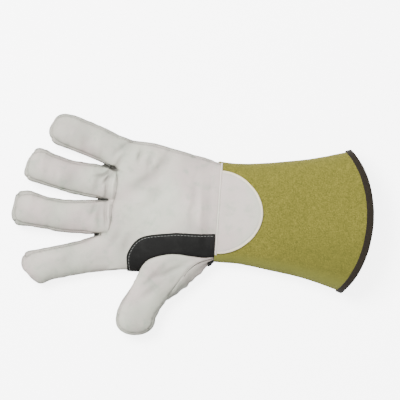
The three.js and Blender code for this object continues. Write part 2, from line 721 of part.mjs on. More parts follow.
// A point of the cuff: share from the wrist to the hem, turn round it, from the outer
// edge on the left over the palm side.
function cuffPoint(share, turn, offset = 0) {
  const [c, s] = [Math.cos(turn), Math.sin(turn)];
  const across = Math.sign(c) * Math.pow(Math.abs(c), 2 / trunkFullness);
  const rise = Math.pow(Math.abs(s), 2 / trunkFullness);
  const hem = trunkAt(hemX - hemCurve * 70 * 70);
  const end = hemX - hemCurve * Math.pow(across * hem.half, 2) + offset;
  const bowed = wristX - wristBow * smooth(rise, 0.5, 1);
  const start = s > 0 ? cuffStart : lerp(cuffStart, bowed, smooth(-s, 0, 0.3));
  const x = lerp(start, end, share);
  const trunk = trunkAt(x);
  const rest = (tapeThickness + 2 * clearance) * smooth(share, 0.7, 0.95);
  const z = s > 0 ? trunk.mid + trunk.up * rise : Math.max(rest, trunk.mid - trunk.down * rise);
  return new THREE.Vector3(x, trunk.centre + trunk.half * across, z);
}

// The cuff is one sheet of split leather, closed by a seam on the back beside the thumb.
const cuffSeamTurn = THREE.MathUtils.degToRad(233);

function buildCuff() {
  const skin = new Skin();
  const rows = [];
  for (let k = 0; k <= alongCuff; k += 1) {
    const row = [];
    for (let j = 0; j <= roundCuff; j += 1) {
      row.push(cuffPoint(k / alongCuff, cuffSeamTurn + 2 * Math.PI * j / roundCuff));
    }
    openSeam(row);
    rows.push(row);
  }
  skin.grid('cuff', rows, true);
  return skin;
}

// Keeps the two edges of the cuff's closing seam apart, so that it stays one open sheet.
function openSeam(row) {
  const opening = clearance / 2 + 0.05;
  const last = row.length - 1;
  const ways = [row[1].clone().sub(row[0]), row[last - 1].clone().sub(row[last])];
  row[0].addScaledVector(ways[0].normalize(), opening);
  row[last].addScaledVector(ways[1].normalize(), opening);
}

// The binding is a tape folded over the hem: a U-shaped section carried round it.
function buildBinding() {
  const rings = [];
  for (let j = 0; j < roundCuff; j += 1) {
    const turn = cuffSeamTurn + 2 * Math.PI * j / roundCuff;
    const at = (share) => cuffPoint(share, turn);
    const back = 1 - tapeWidth / (hemX - cuffStart);
    const [edge, inner] = [at(1), at(back)];
    const around = cuffPoint(1, turn + 0.02).sub(cuffPoint(1, turn - 0.02));
    const along = edge.clone().sub(inner).normalize();
    const normal = along.clone().cross(around).normalize();
    if (normal.dot(edge.clone().sub(new THREE.Vector3(edge.x, 0, trunkAt(edge.x).mid))) < 0) normal.negate();
    const [outside, gap] = [clearance + tapeThickness, 2 * clearance];
    const inside = -cuffLeather - clearance;
    const spot = (from, reach, offset) => {
      const point = from.clone().addScaledVector(along, reach).addScaledVector(normal, offset);
      return point;
    };
    rings.push([
      spot(inner, 0, outside), spot(edge, gap, outside),
      spot(edge, gap + tapeThickness, outside - 0.8), spot(edge, gap + tapeThickness, inside + 0.1),
      spot(edge, gap, inside - tapeThickness), spot(inner, 0, inside - tapeThickness),
      spot(inner, 0, inside), spot(edge, gap, inside), spot(edge, gap, clearance), spot(inner, 0, clearance),
    ]);
  }
  return ringBody(rings, true);
}

// The half-moon patch, sewn on the cuff against the welt.
function buildMoon() {
  const skin = new Skin();
  const [across, along] = [14, 7];
  const rows = [];
  for (let k = 0; k <= along; k += 1) {
    const row = [];
    for (let j = 0; j <= across; j += 1) {
      const [X, V] = halfDisc(1 - 2 * j / across, k / along);
      const [x, y] = [moon.x + moon.reach * V, moon.y + moon.halfWidth * X];
      const trunk = trunkAt(x);
      const rise = dome((y - trunk.centre) / trunk.half, trunkFullness);
      row.push(new THREE.Vector3(x, y, trunk.mid + trunk.up * rise));
    }
    rows.push(row);
  }
  skin.grid('moon', rows, true);
  return skin.body('moon', 2 * clearance + patchLeather, 2 * clearance, 0.1);
}

// The welt: a cord of leather in the seam between palm and cuff.
function buildWelt() {
  const x = (palmEnd + cuffStart) / 2;
  const trunk = trunkAt(x);
  const rings = [];
  const [steps, sides] = [24, 8];
  for (let k = 0; k <= steps; k += 1) {
    const turn = lerp(0.25, Math.PI - 0.55, k / steps);
    const at = (angle) => {
      const c = Math.cos(angle);
      const y = trunk.centre + trunk.half * Math.sign(c) * Math.pow(Math.abs(c), 2 / trunkFullness);
      const z = trunk.mid + trunk.up * Math.pow(Math.sin(angle), 2 / trunkFullness);
      return new THREE.Vector3(x, y, z);
    };
    const centre = at(turn);
    const way = at(turn + 0.02).sub(at(turn - 0.02)).normalize();
    const side = new THREE.Vector3(1, 0, 0);
    const up = side.clone().cross(way).normalize();
    if (up.z < 0) up.negate();
    const ring = [];
    for (let j = 0; j < sides; j += 1) {
      const angle = 2 * Math.PI * j / sides;
      ring.push(centre.clone()
        .addScaledVector(side, weltRadius * Math.cos(angle))
        .addScaledVector(up, weltRadius * Math.sin(angle) + 0.2));
    }
    rings.push(ring);
  }
  return ringBody(rings, false);
}

// Turns a body's faces outwards if its volume comes out negative.
function facingOut(geometry) {
  const position = geometry.getAttribute('position');
  const index = geometry.getIndex();
  const corner = (i) => new THREE.Vector3().fromBufferAttribute(position, index.getX(i));
  let volume = 0;
  for (let i = 0; i < index.count; i += 3) {
    volume += corner(i).dot(corner(i + 1).cross(corner(i + 2)));
  }
  if (volume < 0) index.array.reverse();
  return geometry;
}

const finishes = {
  grain: { color: 0xd3d0cb, roughness: 0.62 },
  strap: { color: 0x26262a, roughness: 0.7 },
  suede: { color: 0x9c9148, roughness: 0.95 },
  tape: { color: 0x2f2826, roughness: 0.85 },
};

const glove = new THREE.Group();
const middle = new THREE.Vector3(-outlineCentre.x, -outlineCentre.y, 0);

function add(name, finish, geometry) {
  const material = new THREE.MeshStandardMaterial({ ...finishes[finish], metalness: 0 });
  const mesh = new THREE.Mesh(facingOut(geometry), material);
  mesh.name = name;
  mesh.position.copy(middle);
  glove.add(mesh);
}

const hand = buildSkin();
const handPanels = [
  'palm', 'finger_fronts', 'hand_back', 'side_little_ring', 'side_ring_middle',
  'side_middle_index', 'thumb_front', 'thumb_back',
];
for (const panel of handPanels) add(panel, 'grain', hand.skin.body(panel, 0, -handLeather));
add('thumb_strap', 'strap', buildStrap(hand));
add('wrist_welt', 'grain', buildWelt());
add('wrist_patch', 'grain', buildMoon());
add('cuff', 'suede', buildCuff().body('cuff', 0, -cuffLeather, 0));
add('cuff_binding', 'tape', buildBinding());

export default glove;
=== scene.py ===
# A TIG welding glove for the left hand, lying on its back with the palm up.
# Shapes are worked out in millimetres, in the frame of the outline tables: fingers along
# -X, cuff along +X, thumb on the -Y side. toFrame moves them into the model's own frame.
import bpy
import numpy as np
from mathutils import Matrix, Vector


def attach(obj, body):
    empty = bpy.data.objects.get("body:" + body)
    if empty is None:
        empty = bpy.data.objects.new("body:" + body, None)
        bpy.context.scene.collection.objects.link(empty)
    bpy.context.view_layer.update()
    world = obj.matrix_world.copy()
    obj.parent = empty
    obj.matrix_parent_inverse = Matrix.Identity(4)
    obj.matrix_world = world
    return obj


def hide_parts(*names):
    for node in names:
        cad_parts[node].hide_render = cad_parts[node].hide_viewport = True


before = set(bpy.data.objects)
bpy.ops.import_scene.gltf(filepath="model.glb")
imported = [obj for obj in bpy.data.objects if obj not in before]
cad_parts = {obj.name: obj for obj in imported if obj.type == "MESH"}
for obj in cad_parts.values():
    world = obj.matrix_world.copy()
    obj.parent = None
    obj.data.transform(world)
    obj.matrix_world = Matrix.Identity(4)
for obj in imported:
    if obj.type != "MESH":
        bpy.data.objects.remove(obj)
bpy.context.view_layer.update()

# What the whole glove shares. Lengths are in millimetres.
glove = {
    "handLeather": 1.2, "cuffLeather": 1.6, "patchLeather": 1.1,
    "sideInset": 2.0, "wristX": 28.3, "palmEnd": 26.9, "cuffStart": 30.1,
    "hemX": 180.2, "hemCurve": 0.005, "hemHalf": 70, "centreX": 2.383, "centreY": -19.377,
    "fingerFullness": 2.4, "trunkFullness": 2.6, "seamShare": 0.88, "crowding": 72,
    "bow": 7.0, "tuck": 1.2, "overlap": 2.2, "creased": 2.4,
    "strapLift": 0.96, "lowest": 0.02,
}
# Grid cells: across a finger, half round its side, along it, and along a tip.
cells = {"across": 36, "around": 7, "along": 80, "tip": 18, "perHandRow": 12, "thumb": 108}


# A table with named columns, from rows of numbers.
def table(names, *rows):
    return {name: np.array(values, float) for name, values in zip(names.split(), zip(*rows))}


trunk = table(
    "x left right mid up down",
    (-95, 78, -67, 9, 12.5, 10.2), (-80, 73.5, -65.3, 9.4, 15, 10.6),
    (-62, 66.8, -63.3, 10, 17, 11.2), (-40, 65, -62.6, 10.5, 18.2, 11.8),
    (-20, 60.8, -60, 11, 18.2, 12.2), (0, 56.5, -55.5, 11.5, 17.6, 12.8),
    (28.3, 51.5, -48.5, 12, 17, 13.2), (60, 51.8, -50.4, 13, 18.5, 14.3),
    (104, 57.5, -56.3, 15.5, 21, 17), (133, 64, -62.8, 18, 23, 20),
    (155, 70.5, -69.6, 20, 24.5, 22.2), (182, 79, -78, 22, 26, 24.5),
)
knuckles = table(
    "x y wristY",
    (-76, 71.5, 51.5), (-83, 38.5, 27), (-82, 5.7, 3), (-88.5, -29, -21), (-80, -65.3, -44),
)
sectionNames = "lx ly rx ry mid up down lift"
fingers = [
    dict(tipLength=24, fullness=(2.8, 3), open=(True, False), rows=table(
        sectionNames,
        (-76, 71.5, -83, 38.5, 9.2, 12.2, 10.4, 0), (-89, 76.7, -96, 44, 9, 12, 10.2, 0.3),
        (-103, 81.6, -111.5, 49.3, 9, 11.6, 10, 1.4), (-116, 85.8, -126.5, 54, 9, 11, 9.8, 3.6))),
    dict(tipLength=16.5, fullness=(2.6, 3), open=(False, False), rows=table(
        sectionNames,
        (-83, 38.5, -82, 5.7, 9.2, 12.4, 10.4, 0), (-98, 40.9, -100, 7, 9, 12.2, 10.2, 0.2),
        (-117, 42.2, -121, 9.7, 9, 12, 10, 1.2), (-134, 46, -139.5, 14, 9, 11.6, 10, 3.2),
        (-147, 50.6, -152.5, 17.6, 9, 11, 9.8, 5.4))),
    dict(tipLength=17.8, fullness=(2.8, 3.2), open=(False, False), rows=table(
        sectionNames,
        (-82, 5.7, -88.5, -29, 9.2, 12.6, 10.4, 0), (-102, 4.1, -104.5, -30, 9, 12.4, 10.2, 0.2),
        (-122, 3.3, -124, -29.7, 9, 12.2, 10, 1), (-141, 4.8, -143, -27.4, 9, 11.8, 10, 2.8),
        (-158, 8.1, -160, -26, 9, 11.2, 9.8, 5))),
    dict(tipLength=19.6, fullness=(2.5, 1.6), open=(False, True), rows=table(
        sectionNames,
        (-88.5, -29, -80, -65.3, 9.2, 12.6, 10.4, 0), (-105, -35.5, -97, -68.5, 9, 12.4, 10.2, 0.2),
        (-121, -40.6, -113, -72.4, 9, 12, 10, 1), (-137, -45.2, -128.5, -76.6, 9, 11.6, 10, 2.6),
        (-148, -48.2, -140, -80.2, 9, 11, 9.8, 4))),
]
thumbRow = 4
handRows = table(
    "share leftX frontX frontY backX backY",
    (0, -76, -80, 0, -80, 0), (0.06, -68, -72, 0, -61, 0), (0.16, -57, -62, 0, -56, 0),
    (0.27, -46, -53, 0, -51, 0), (0.37, -36, -45.8, -60.6, -45.8, -60.6),
    (0.47, -26, -40.5, -52, -41, -56.5), (0.57, -15, -30, -46.5, -30, -52),
    (0.68, -4, -14, -43, -15, -49.8), (0.79, 6, 3, -44, 2, -49),
    (0.9, 17, 16, -44.7, 15, -48), (1, 26.9, 26.9, -44, 26.9, -46.5),
)
thumb = dict(tipLength=17, fullness=(2.3, 2.3), open=(True, True), gather=0.7, gathers=12, rows=table(
    sectionNames + " seamX seamY",
    (-45.8, -63, 27.5, -47, 11, 14, 12, 0, 26.9, -44),
    (-49.5, -71, 17.5, -55.5, 11, 15, 12, 0.3, 13, -49),
    (-54, -80, 7.5, -67.5, 11, 14.6, 12, 0.8, 3.5, -57),
    (-58.5, -88, -6, -80, 10.8, 14, 11.8, 1.6, -6, -71),
    (-62.5, -95, -17, -89.5, 10.5, 13.4, 11.4, 2.6, -17, -88),
    (-65.6, -103.5, -23.5, -100, 10.2, 12.8, 11, 3.6, -25, -99.5),
    (-66.8, -111.5, -27.5, -109.5, 10, 12, 10.8, 4.6, -29.4, -109.4)))
strapRows = table(
    "frontX frontY backX backY",
    (-58.5, 0, -58.5, 0), (-58.8, -45.5, -52, -49.5), (-46.5, -29.5, -38, -38.5),
    (-16, -23.2, -16, -32.5), (2, -22.5, 2, -31.5), (15, -22, 15, -32.5),
    (26.6, -21, 21.8, -34),
)
# The seam across the roots of the ring and middle fingers.
frontSeam = table(
    "y x",
    (-28.9, -86.2), (-27, -82.2), (-24, -79.5), (-15.3, -77.9), (-4.3, -78), (4, -77.4),
    (12, -75.1), (21, -74.2), (30, -74.9), (38.5, -77.2),
)
# The dents and folds that the solids share.
mainFolds = table(
    "x y turn along across depth",
    (-66, 52, 75, 16, 5, 1.2), (-50, 50, 80, 9, 5, 1.1), (-34, 36, 50, 26, 7, 1.3),
    (-58, 14, 20, 22, 8, 0.8), (16, -2, 90, 30, 5, 0.8),
)


# A smooth step: 0 up to low, 1 from high on, and 3 t^2 - 2 t^3 between them.
def smooth(value, low, high):
    t = np.clip((value - low) / (high - low), 0, 1)
    return t * t * (3 - 2 * t)


# The point at share t of the straight way from a to b.
def lerp(a, b, t):
    return a + (b - a) * t


# Each vector divided by its own length.
def unit(vectors):
    return vectors / np.maximum(1e-12, np.linalg.norm(vectors, axis=-1, keepdims=True))


# Points from their three coordinates.
def xyz(x, y, z):
    return np.stack(np.broadcast_arrays(x, y, z), -1)


# A bell: exp(-(distance / reach)^power), which is 1 at 0.
def bell(distance, reach, power=2):
    return np.exp(-(distance / reach) ** power)


# The larger of two values, or with side -1 the smaller, rounded off where they are close:
# (a + b + side sqrt((a - b)^2 + rounding)) / 2.
def softMost(a, b, rounding, side=1):
    return (a + b + side * np.sqrt((a - b) ** 2 + rounding)) / 2


# The profile across a section: 1 in the middle, 0 at the edge.
def dome(share, fullness):
    rest = 1 - np.minimum(1, np.abs(share)) ** fullness
    return np.maximum(0, rest) ** (1 / fullness)


# Grid lines crowd towards the edges: sin(t a) / sin(a).
def crowd(t):
    angle = np.radians(glove["crowding"])
    return np.sin(t * angle) / np.sin(angle)


# A smooth curve through one column of a table (Catmull-Rom).
def column(values, place):
    last = len(values) - 1
    place = np.asarray(place, float)
    row = np.clip(np.floor(place), 0, last - 1).astype(int)
    a, b, c, d = (values[np.clip(row + k, 0, last)] for k in (-1, 0, 1, 2))
    f = place - row
    return b + 0.5 * f * (c - a + f * (2 * a - 5 * b + 4 * c - d + f * (3 * (b - c) + d - a)))


# The hand and cuff as one hollow trunk: outline and heights at each x.
def trunkAt(x):
    xs = trunk["x"]
    x = np.asarray(x, float)
    row = np.clip(np.searchsorted(xs[1:-1], x, side="left"), 0, len(xs) - 2)
    place = row + np.clip((x - xs[row]) / (xs[row + 1] - xs[row]), 0, 1)
    at = {key: column(trunk[key], place) for key in ("left", "right", "mid", "up", "down")}
    at["centre"] = (at["left"] + at["right"]) / 2
    at["half"] = (at["left"] - at["right"]) / 2
    return at


# The middle of the trunk's section, or the rim on its left or right side, at each x.
def trunkEdge(x, key):
    at = trunkAt(x)
    return xyz(x, at[key], at["mid"])


# The line of the knuckles, straight from one finger's root to the next.
def knuckleX(y):
    return np.interp(y, knuckles["y"][::-1], knuckles["x"][::-1])


# Two strips meet in a sharp valley at share 1. Taking k exp((share - 1) / k) from the share
# levels it there, over a width of about k.
def levelled(share, softness):
    k = np.maximum(softness, 0.001)
    size = np.abs(share)
    return size - k * np.exp((size - 1) / k)


# The height that the fingers' rounded tops would have if they ran on into the hand.
def fingerRidge(x, y, side):
    at = trunkAt(x)
    k = knuckles
    lines = [at["left"] - glove["sideInset"]]
    for i in (1, 2, 3):
        share = (x - k["x"][i]) / (glove["wristX"] - k["x"][i])
        lines.append(lerp(k["y"][i], k["wristY"][i], share))
    lines.append(at["right"] + glove["sideInset"])
    lines = np.stack(lines)
    strip = (lines[1] > y).astype(int) + (lines[2] > y) + (lines[3] > y)
    left = np.take_along_axis(lines, strip[None], 0)[0]
    right = np.take_along_axis(lines, strip[None] + 1, 0)[0]
    share = np.clip((y - (left + right) / 2) / ((left - right) / 2), -1, 1)
    past = x - knuckleX(y)
    share = levelled(share, 0.3 * smooth(past, 1, 14)) * (1 - 0.3 * smooth(past, 0, 16))
    rise = dome(share * glove["seamShare"], glove["fingerFullness"])
    base = {key: np.array([f["rows"][key][0] for f in fingers]) for key in ("mid", "up", "down")}
    if side > 0:
        return base["mid"][strip] + base["up"][strip] * rise
    return base["mid"][strip] - base["down"][strip] * rise


# A sum of long bell-shaped dents: exp(-(along/a)^2 - (across/b)^2) times the depth.
def folds(rows, x, y):
    depth = np.zeros(np.shape(x))
    for i in range(len(rows["x"])):
        turn = np.radians(rows["turn"][i])
        dx, dy = x - rows["x"][i], y - rows["y"][i]
        along = (dx * np.cos(turn) + dy * np.sin(turn)) / rows["along"][i]
        across = (dy * np.cos(turn) - dx * np.sin(turn)) / rows["across"][i]
        depth = depth + rows["depth"][i] * np.exp(-along ** 2 - across ** 2)
    return depth


# Where the strap lies on the back, the hand is raised by the strap's thickness: the lift
# times two smooth steps, along the hand and towards the thumb.
def strapRest(x, y):
    lift = glove["patchLeather"] + glove["strapLift"]
    return lift * smooth(x, -75, -60) * smooth(-y, 22, 36)


# The palm (side 1) or the back of the hand (side -1) above a point of the plan: the middle
# height plus or minus the dome of the section. Near the knuckles it blends into the
# fingers' ridge, and the main folds are taken off the palm.
def handHeight(x, y, side):
    x, y = np.broadcast_arrays(np.asarray(x, float), np.asarray(y, float))
    at = trunkAt(x)
    rise = dome((y - at["centre"]) / at["half"], glove["trunkFullness"])
    hand = at["mid"] + (at["up"] * rise if side > 0 else -at["down"] * rise)
    share = smooth(x - knuckleX(y), 0, 30)
    height = lerp(fingerRidge(x, y, side), hand, share)
    if side < 0:
        return np.maximum(strapRest(x, y), height)
    return height - folds(mainFolds, x, y) * share * smooth(rise, 0.3, 0.8)


# Points of the palm or the back over places of the plan.
def handPoints(x, y, side):
    return xyz(x, y, handHeight(x, y, side))


# A side wall between a front edge and a back edge, out to the rim: a quarter of a rounded
# square each way. share is how far out the front edge lies already, from 0 to 1.
def wrap(front, rim, back, steps, share=glove["seamShare"], fullness=glove["fingerFullness"]):
    share = np.broadcast_to(np.asarray(share, float), front.shape[:1])[:, None]
    w = np.linspace(0, 1, steps + 1)[None]

    def quarter(edge, share):
        start = np.arcsin(share)
        out = np.sin(lerp(start, np.pi / 2, w))
        level = (dome(out, fullness) / dome(share, fullness))[..., None]
        level[:, -1] = 0
        way = ((out - share) / (1 - share))[..., None]
        flat = edge[:, None, :2] + (rim - edge)[:, None, :2] * way
        return np.concatenate([flat, rim[:, None, 2:] + (edge - rim)[:, None, 2:] * level], -1)

    backShare = np.full_like(share, glove["seamShare"])
    lower = quarter(back, backShare)[:, ::-1]
    return np.concatenate([quarter(front, share), lower[:, 1:]], 1)


# A square's grid laid on a half disc, so that a rounded end needs no pole.
def halfDisc(t, v):
    return t * np.sqrt(1 - v * v / 2), v * np.sqrt(1 - t * t / 2)


# A finger or the thumb: a tube of rounded-square sections along a table, with a rounded
# tip. Gives grids of points for the front, the back and the side walls. Where it has a
# base, its first rows are moved onto it, less and less along the tube.
def limb(part, along, across, base=None):
    rows = part["rows"]
    last = len(rows["lx"]) - 1
    inset = glove["sideInset"]
    place = np.linspace(0, last, along + 1)
    at = {key: column(values, place) for key, values in rows.items()}
    left, right = (np.stack([at[a], at[b]], -1) for a, b in (("lx", "ly"), ("rx", "ry")))
    half = np.linalg.norm(left - right, axis=1) / 2
    over = (left - right) / (2 * half)[:, None]
    opening = smooth(place / last, 0, 0.3)
    leftInset, rightInset = (inset * np.maximum(opening, free) for free in part["open"])
    mid = at["mid"] + at["lift"]
    t = 1 - 2 * np.arange(across + 1) / across

    def height(share, mid, up, down, side):
        rise = dome(share, glove["fingerFullness"])
        return mid + up * rise if side > 0 else np.maximum(0, mid - down * rise)

    leftEdge = left - over * leftInset[:, None]
    backEdge = right + over * rightInset[:, None]
    frontEdge, rightShare = backEdge, np.full(along + 1, glove["seamShare"])
    if "seamX" in rows:
        frontEdge = np.stack([at["seamX"], at["seamY"]], -1)
        share = softMost(1 - np.linalg.norm(frontEdge - right, axis=1) / half, 0.5, 0.02)
        rightShare = softMost(share, glove["seamShare"], 0.004, -1)

    axis = np.array([-over[-1][1], over[-1][0]])
    forward = (left + right)[-1] - (left + right)[-8]
    axis = axis * np.sign(axis @ forward)
    innerHalf = half[-1] - inset
    innerLength = part["tipLength"] - inset
    centre = (left[-1] + right[-1]) / 2

    # The tip is a rounded square drawn round the end's centre, with a fullness for each side.
    def tipSpot(beside, out, reach, bulge):
        size = np.maximum(1e-9, np.hypot(beside, out))
        dx, dv = beside / size, out / size
        full = np.where(dx > 0, *part["fullness"])
        size = (np.abs(dx) ** full + np.abs(dv) ** full) ** (-1 / full)
        a = dx * size * (innerHalf * reach + inset * bulge)
        b = dv * size * (innerLength * reach + inset * bulge)
        return centre + over[-1] * a[..., None] + axis * b[..., None]

    v = (np.arange(1, cells["tip"] + 1) / cells["tip"])[:, None]
    disc = halfDisc(t[None], v)
    discReach = crowd(np.hypot(*disc))
    discSpot = tipSpot(*disc, discReach, 0)

    def face(side):
        rightEdge = frontEdge if side > 0 else backEdge
        way = (crowd(t)[None] + 1) / 2
        spot = rightEdge[:, None] + (leftEdge - rightEdge)[:, None] * way[..., None]
        nearShare = rightShare[:, None] if side > 0 else glove["seamShare"] + 0 * place[:, None]
        share = lerp(-nearShare, glove["seamShare"], way)
        columns = [a[:, None] for a in (mid, at["up"], at["down"])]
        straight = np.concatenate([spot, height(share, *columns, side)[..., None]], -1)
        z = height(discReach * glove["seamShare"], mid[-1], at["up"][-1], at["down"][-1], side)
        return np.concatenate([straight, np.concatenate([discSpot, z[..., None]], -1)])

    front, back = face(1), face(-1)
    # The thumb's outer rim is gathered in waves, which die out before the tip.
    gathers = part.get("gathers", 0)
    done = place / last * gathers
    wave = part.get("gather", 0) * -np.cos(np.pi * done) * smooth(gathers - done, 1, 4)
    rightRim = right - over * wave[:, None]
    rimAt = lambda t, v: tipSpot(*halfDisc(t, v), 1, 1)
    ends = [rimAt(sign, v[:, 0]) for sign in (1.0, -1.0)]
    rims = [np.concatenate([edge, end]) for edge, end in zip((left, rightRim), ends)]
    rimZ = np.concatenate([mid, np.full(cells["tip"], mid[-1])])
    rims = [np.concatenate([edge, rimZ[:, None]], -1) for edge in rims]
    roundRim = np.concatenate([rimAt(t, 1.0), np.full((across + 1, 1), mid[-1])], -1)

    if base:
        fade = (1 - smooth(np.arange(len(front)) / along, 0, 0.75))[:, None]
        front = front + fade[..., None] * (base["front"] - front[0])[None]
        back = back + fade[..., None] * (base["back"] - back[0])[None]
        rims = [rim + fade * (target - rim[0]) for rim, target in zip(rims, base["rims"])]
    frontShare = np.full(len(front), glove["seamShare"])
    frontShare[:along + 1] = rightShare
    steps = cells["around"]
    walls = {
        "left": wrap(front[:, 0], rims[0], back[:, 0], steps),
        "right": wrap(front[:, -1], rims[1], back[:, -1], steps, frontShare),
        "round": wrap(front[-1], roundRim, back[-1], steps),
    }
    if base:
        fade = (1 - smooth(np.arange(len(front)) / along, 0, 0.3))[:, None, None]
        for key in ("left", "right"):
            walls[key] = walls[key] + fade * (base[key] - walls[key][0])[None]
    return dict(front=front, back=back, **walls)


# On the back, the wrist seam bows towards the fingers by this much.
def wristBow(x, y):
    at = trunkAt(x)
    rise = dome((y - at["centre"]) / at["half"], glove["trunkFullness"])
    return glove["bow"] * smooth(rise, 0.5, 1)


# How far the first row of the palm moves along X to lie on the fingers' front seam.
def seamShift(row):
    y = np.clip(row[:, 1], frontSeam["y"][0], frontSeam["y"][-1])
    place = np.interp(y, frontSeam["y"], np.arange(len(frontSeam["y"])))
    return (column(frontSeam["x"], place) - row[:, 0]) * np.exp(-np.abs(row[:, 1] - y) / 5)


# A row of the hand at each place down the table, from the knuckles to the wrist.
def handGrid(side, places):
    outer = places <= thumbRow

    def thumbEdge(name):
        values = handRows[("front" if side > 0 else "back") + name]
        return np.where(outer, column(values[:thumbRow + 1], np.minimum(places, thumbRow)),
                        column(values[thumbRow:], np.maximum(places - thumbRow, 0)))

    x, edgeX = column(handRows["leftX"], places), thumbEdge("X")
    edgeY = np.where(outer, trunkAt(edgeX)["right"] + glove["sideInset"], thumbEdge("Y"))
    lines = [np.stack([x, trunkAt(x)["left"] - glove["sideInset"]], -1)]
    share = column(handRows["share"], places)[:, None]
    for i in (1, 2, 3):
        start = np.array([knuckles["x"][i], knuckles["y"][i]])
        lines.append(lerp(start, np.array([glove["palmEnd"], knuckles["wristY"][i]]), share))
    lines.append(np.stack([edgeX, edgeY], -1))
    across = cells["across"]
    spread = ((crowd(1 - 2 * np.arange(across + 1) / across) + 1) / 2)[None, :, None]
    strips = [lerp(lines[i + 1][:, None], lines[i][:, None], spread)[:, 1 if i else 0:]
              for i in range(4)]
    spot = np.concatenate(strips, 1)
    if side > 0:
        share = np.interp(places, [0, 1, 3.2], [0, 1, 0])[:, None]
        spot[..., 0] += seamShift(spot[cells["perHandRow"]]) * share
    else:
        bow = wristBow(spot[..., 0], spot[..., 1])
        spot[..., 0] -= bow * smooth(places, 7, 10)[:, None]
    return handPoints(spot[..., 0], spot[..., 1], side)


# The faces of a grid of points, which are counted from the given number on.
def sheetFaces(shape, turned=False, first=0):
    index = first + np.arange(shape[0] * shape[1]).reshape(shape[:2])
    quads = np.stack([index[:-1, :-1], index[:-1, 1:], index[1:, 1:], index[1:, :-1]], -1)
    quads = quads.reshape(-1, 4)
    return quads if turned else quads[:, ::-1]


# Joins the points that coincide within 1/200 mm: which stay, and the faces through them.
def joinPoints(points, faces):
    keys = np.round(points * 200).astype(np.int64)
    _, kept, inverse = np.unique(keys, axis=0, return_index=True, return_inverse=True)
    return kept, inverse.reshape(-1)[faces]


# Vertex normals: the sum of the normals of the faces round each point.
def vertexNormals(points, faces):
    a, b, c, d = (points[faces[:, k]] for k in range(4))
    normal = np.cross(c - a, d - b)
    total = np.zeros_like(points)
    for k in range(4):
        for axis in range(3):
            total[:, axis] += np.bincount(faces[:, k], normal[:, axis], len(points))
    return unit(total)


# Normals of a grid: the cross product of its steps over and down.
def gridNormals(points):
    down, over = np.gradient(points, axis=0), np.gradient(points, axis=1)
    return unit(np.cross(over, down))


# Smooth random values between -1 and 1, one for each cell corner, blended in between.
def noise(points, size, seed):
    p = np.asarray(points, float) / size + 1000
    cell = np.floor(p).astype(np.int64)
    f = p - cell
    f = f * f * (3 - 2 * f)
    total = np.zeros(p.shape[:-1])
    for corner in np.ndindex(2, 2, 2):
        q = cell + np.array(corner)
        h = q[..., 0] * 73856093 ^ q[..., 1] * 19349663 ^ q[..., 2] * 83492791 ^ (seed * 2654435)
        h = (h ^ (h >> 13)) * 1274126177 & 0x7fffffff
        h = (h ^ (h >> 16)) & 0xffff
        weight = np.prod(np.where(np.array(corner), f, 1 - f), axis=-1)
        total += weight * (h / 32767.5 - 1)
    return total


# Noise of several sizes: the sum of height times noise for each wave's height, size, seed.
def bumps(points, *waves):
    return sum(height * noise(points, size, seed) for height, size, seed in waves)


# Round spots of a table with x, y, reach and height: the sum of their bells.
def spots(rows, x, y):
    return sum(height * bell(np.hypot(x - x0, y - y0), reach)
               for x0, y0, reach, height in zip(*rows.values()))


# Smaller creases of the palm side, and those of the back, seen in the leather.
palmCreases = table(
    "x y turn along across depth",
    (-82, 38.2, -22, 9, 1.1, 1.5), (-86, 33, 40, 8, 1.4, 0.8), (-84, 28, 60, 9, 1.6, 0.8),
    (-90, 31, 22, 9, 1.4, 0.6), (-84.5, 17, 88, 13, 1.7, 0.8), (-93, 24, 80, 12, 3.5, 0.6),
    (-83.6, -11, 93, 12, 1.6, 0.6), (-90, -12, 85, 12, 3.0, 0.5), (-96, -4, 75, 8, 2.5, 0.4),
    (-77.6, 20, 86, 14, 1.5, -0.6), (-80.9, -10, 90, 14, 1.5, -0.6),
    (-75, 41, 62, 12, 2.2, 0.7), (-54, 52, 72, 7, 2.6, 0.8), (-43, 47, 78, 8, 2.8, 0.7),
    (-70, 60, 40, 12, 2.6, 0.5), (-30, 45, 62, 14, 4, 0.6), (-52, 24, 40, 18, 5, 0.6),
    (-38, 10, 55, 22, 6, 0.4), (3, 8, 88, 26, 3.6, 0.4), (10, -2, 92, 24, 3.0, -0.35),
    (19, 2, 90, 30, 3, 0.3), (-62, -38, 70, 12, 4, 0.5), (-74, -33, 60, 10, 3, 0.4),
    (-120, 22, 80, 12, 6, 0.4), (-135, -12, 95, 12, 7, 0.3), (-118, -55, 75, 12, 6, 0.4),
    (-108, 62, 70, 12, 5, 0.4), (-36, -84, 40, 12, 4, 0.5), (-18, -62, 30, 16, 3, 0.6),
    (-30, -66, 45, 16, 3.2, 0.5),
)
backCreases = table(
    "x y turn along across depth",
    (6, 20, 60, 18, 4, 1.0), (14, 32, 55, 14, 3, 0.8), (-6, 28, 62, 20, 5, 0.7),
    (-30, 40, 70, 16, 5, 0.6), (-84, 37, 20, 12, 3, 0.8), (-84, 6, 5, 12, 3, 0.8),
    (-88, -28, -10, 12, 3, 0.8), (10, -10, 95, 20, 4, 0.5),
)
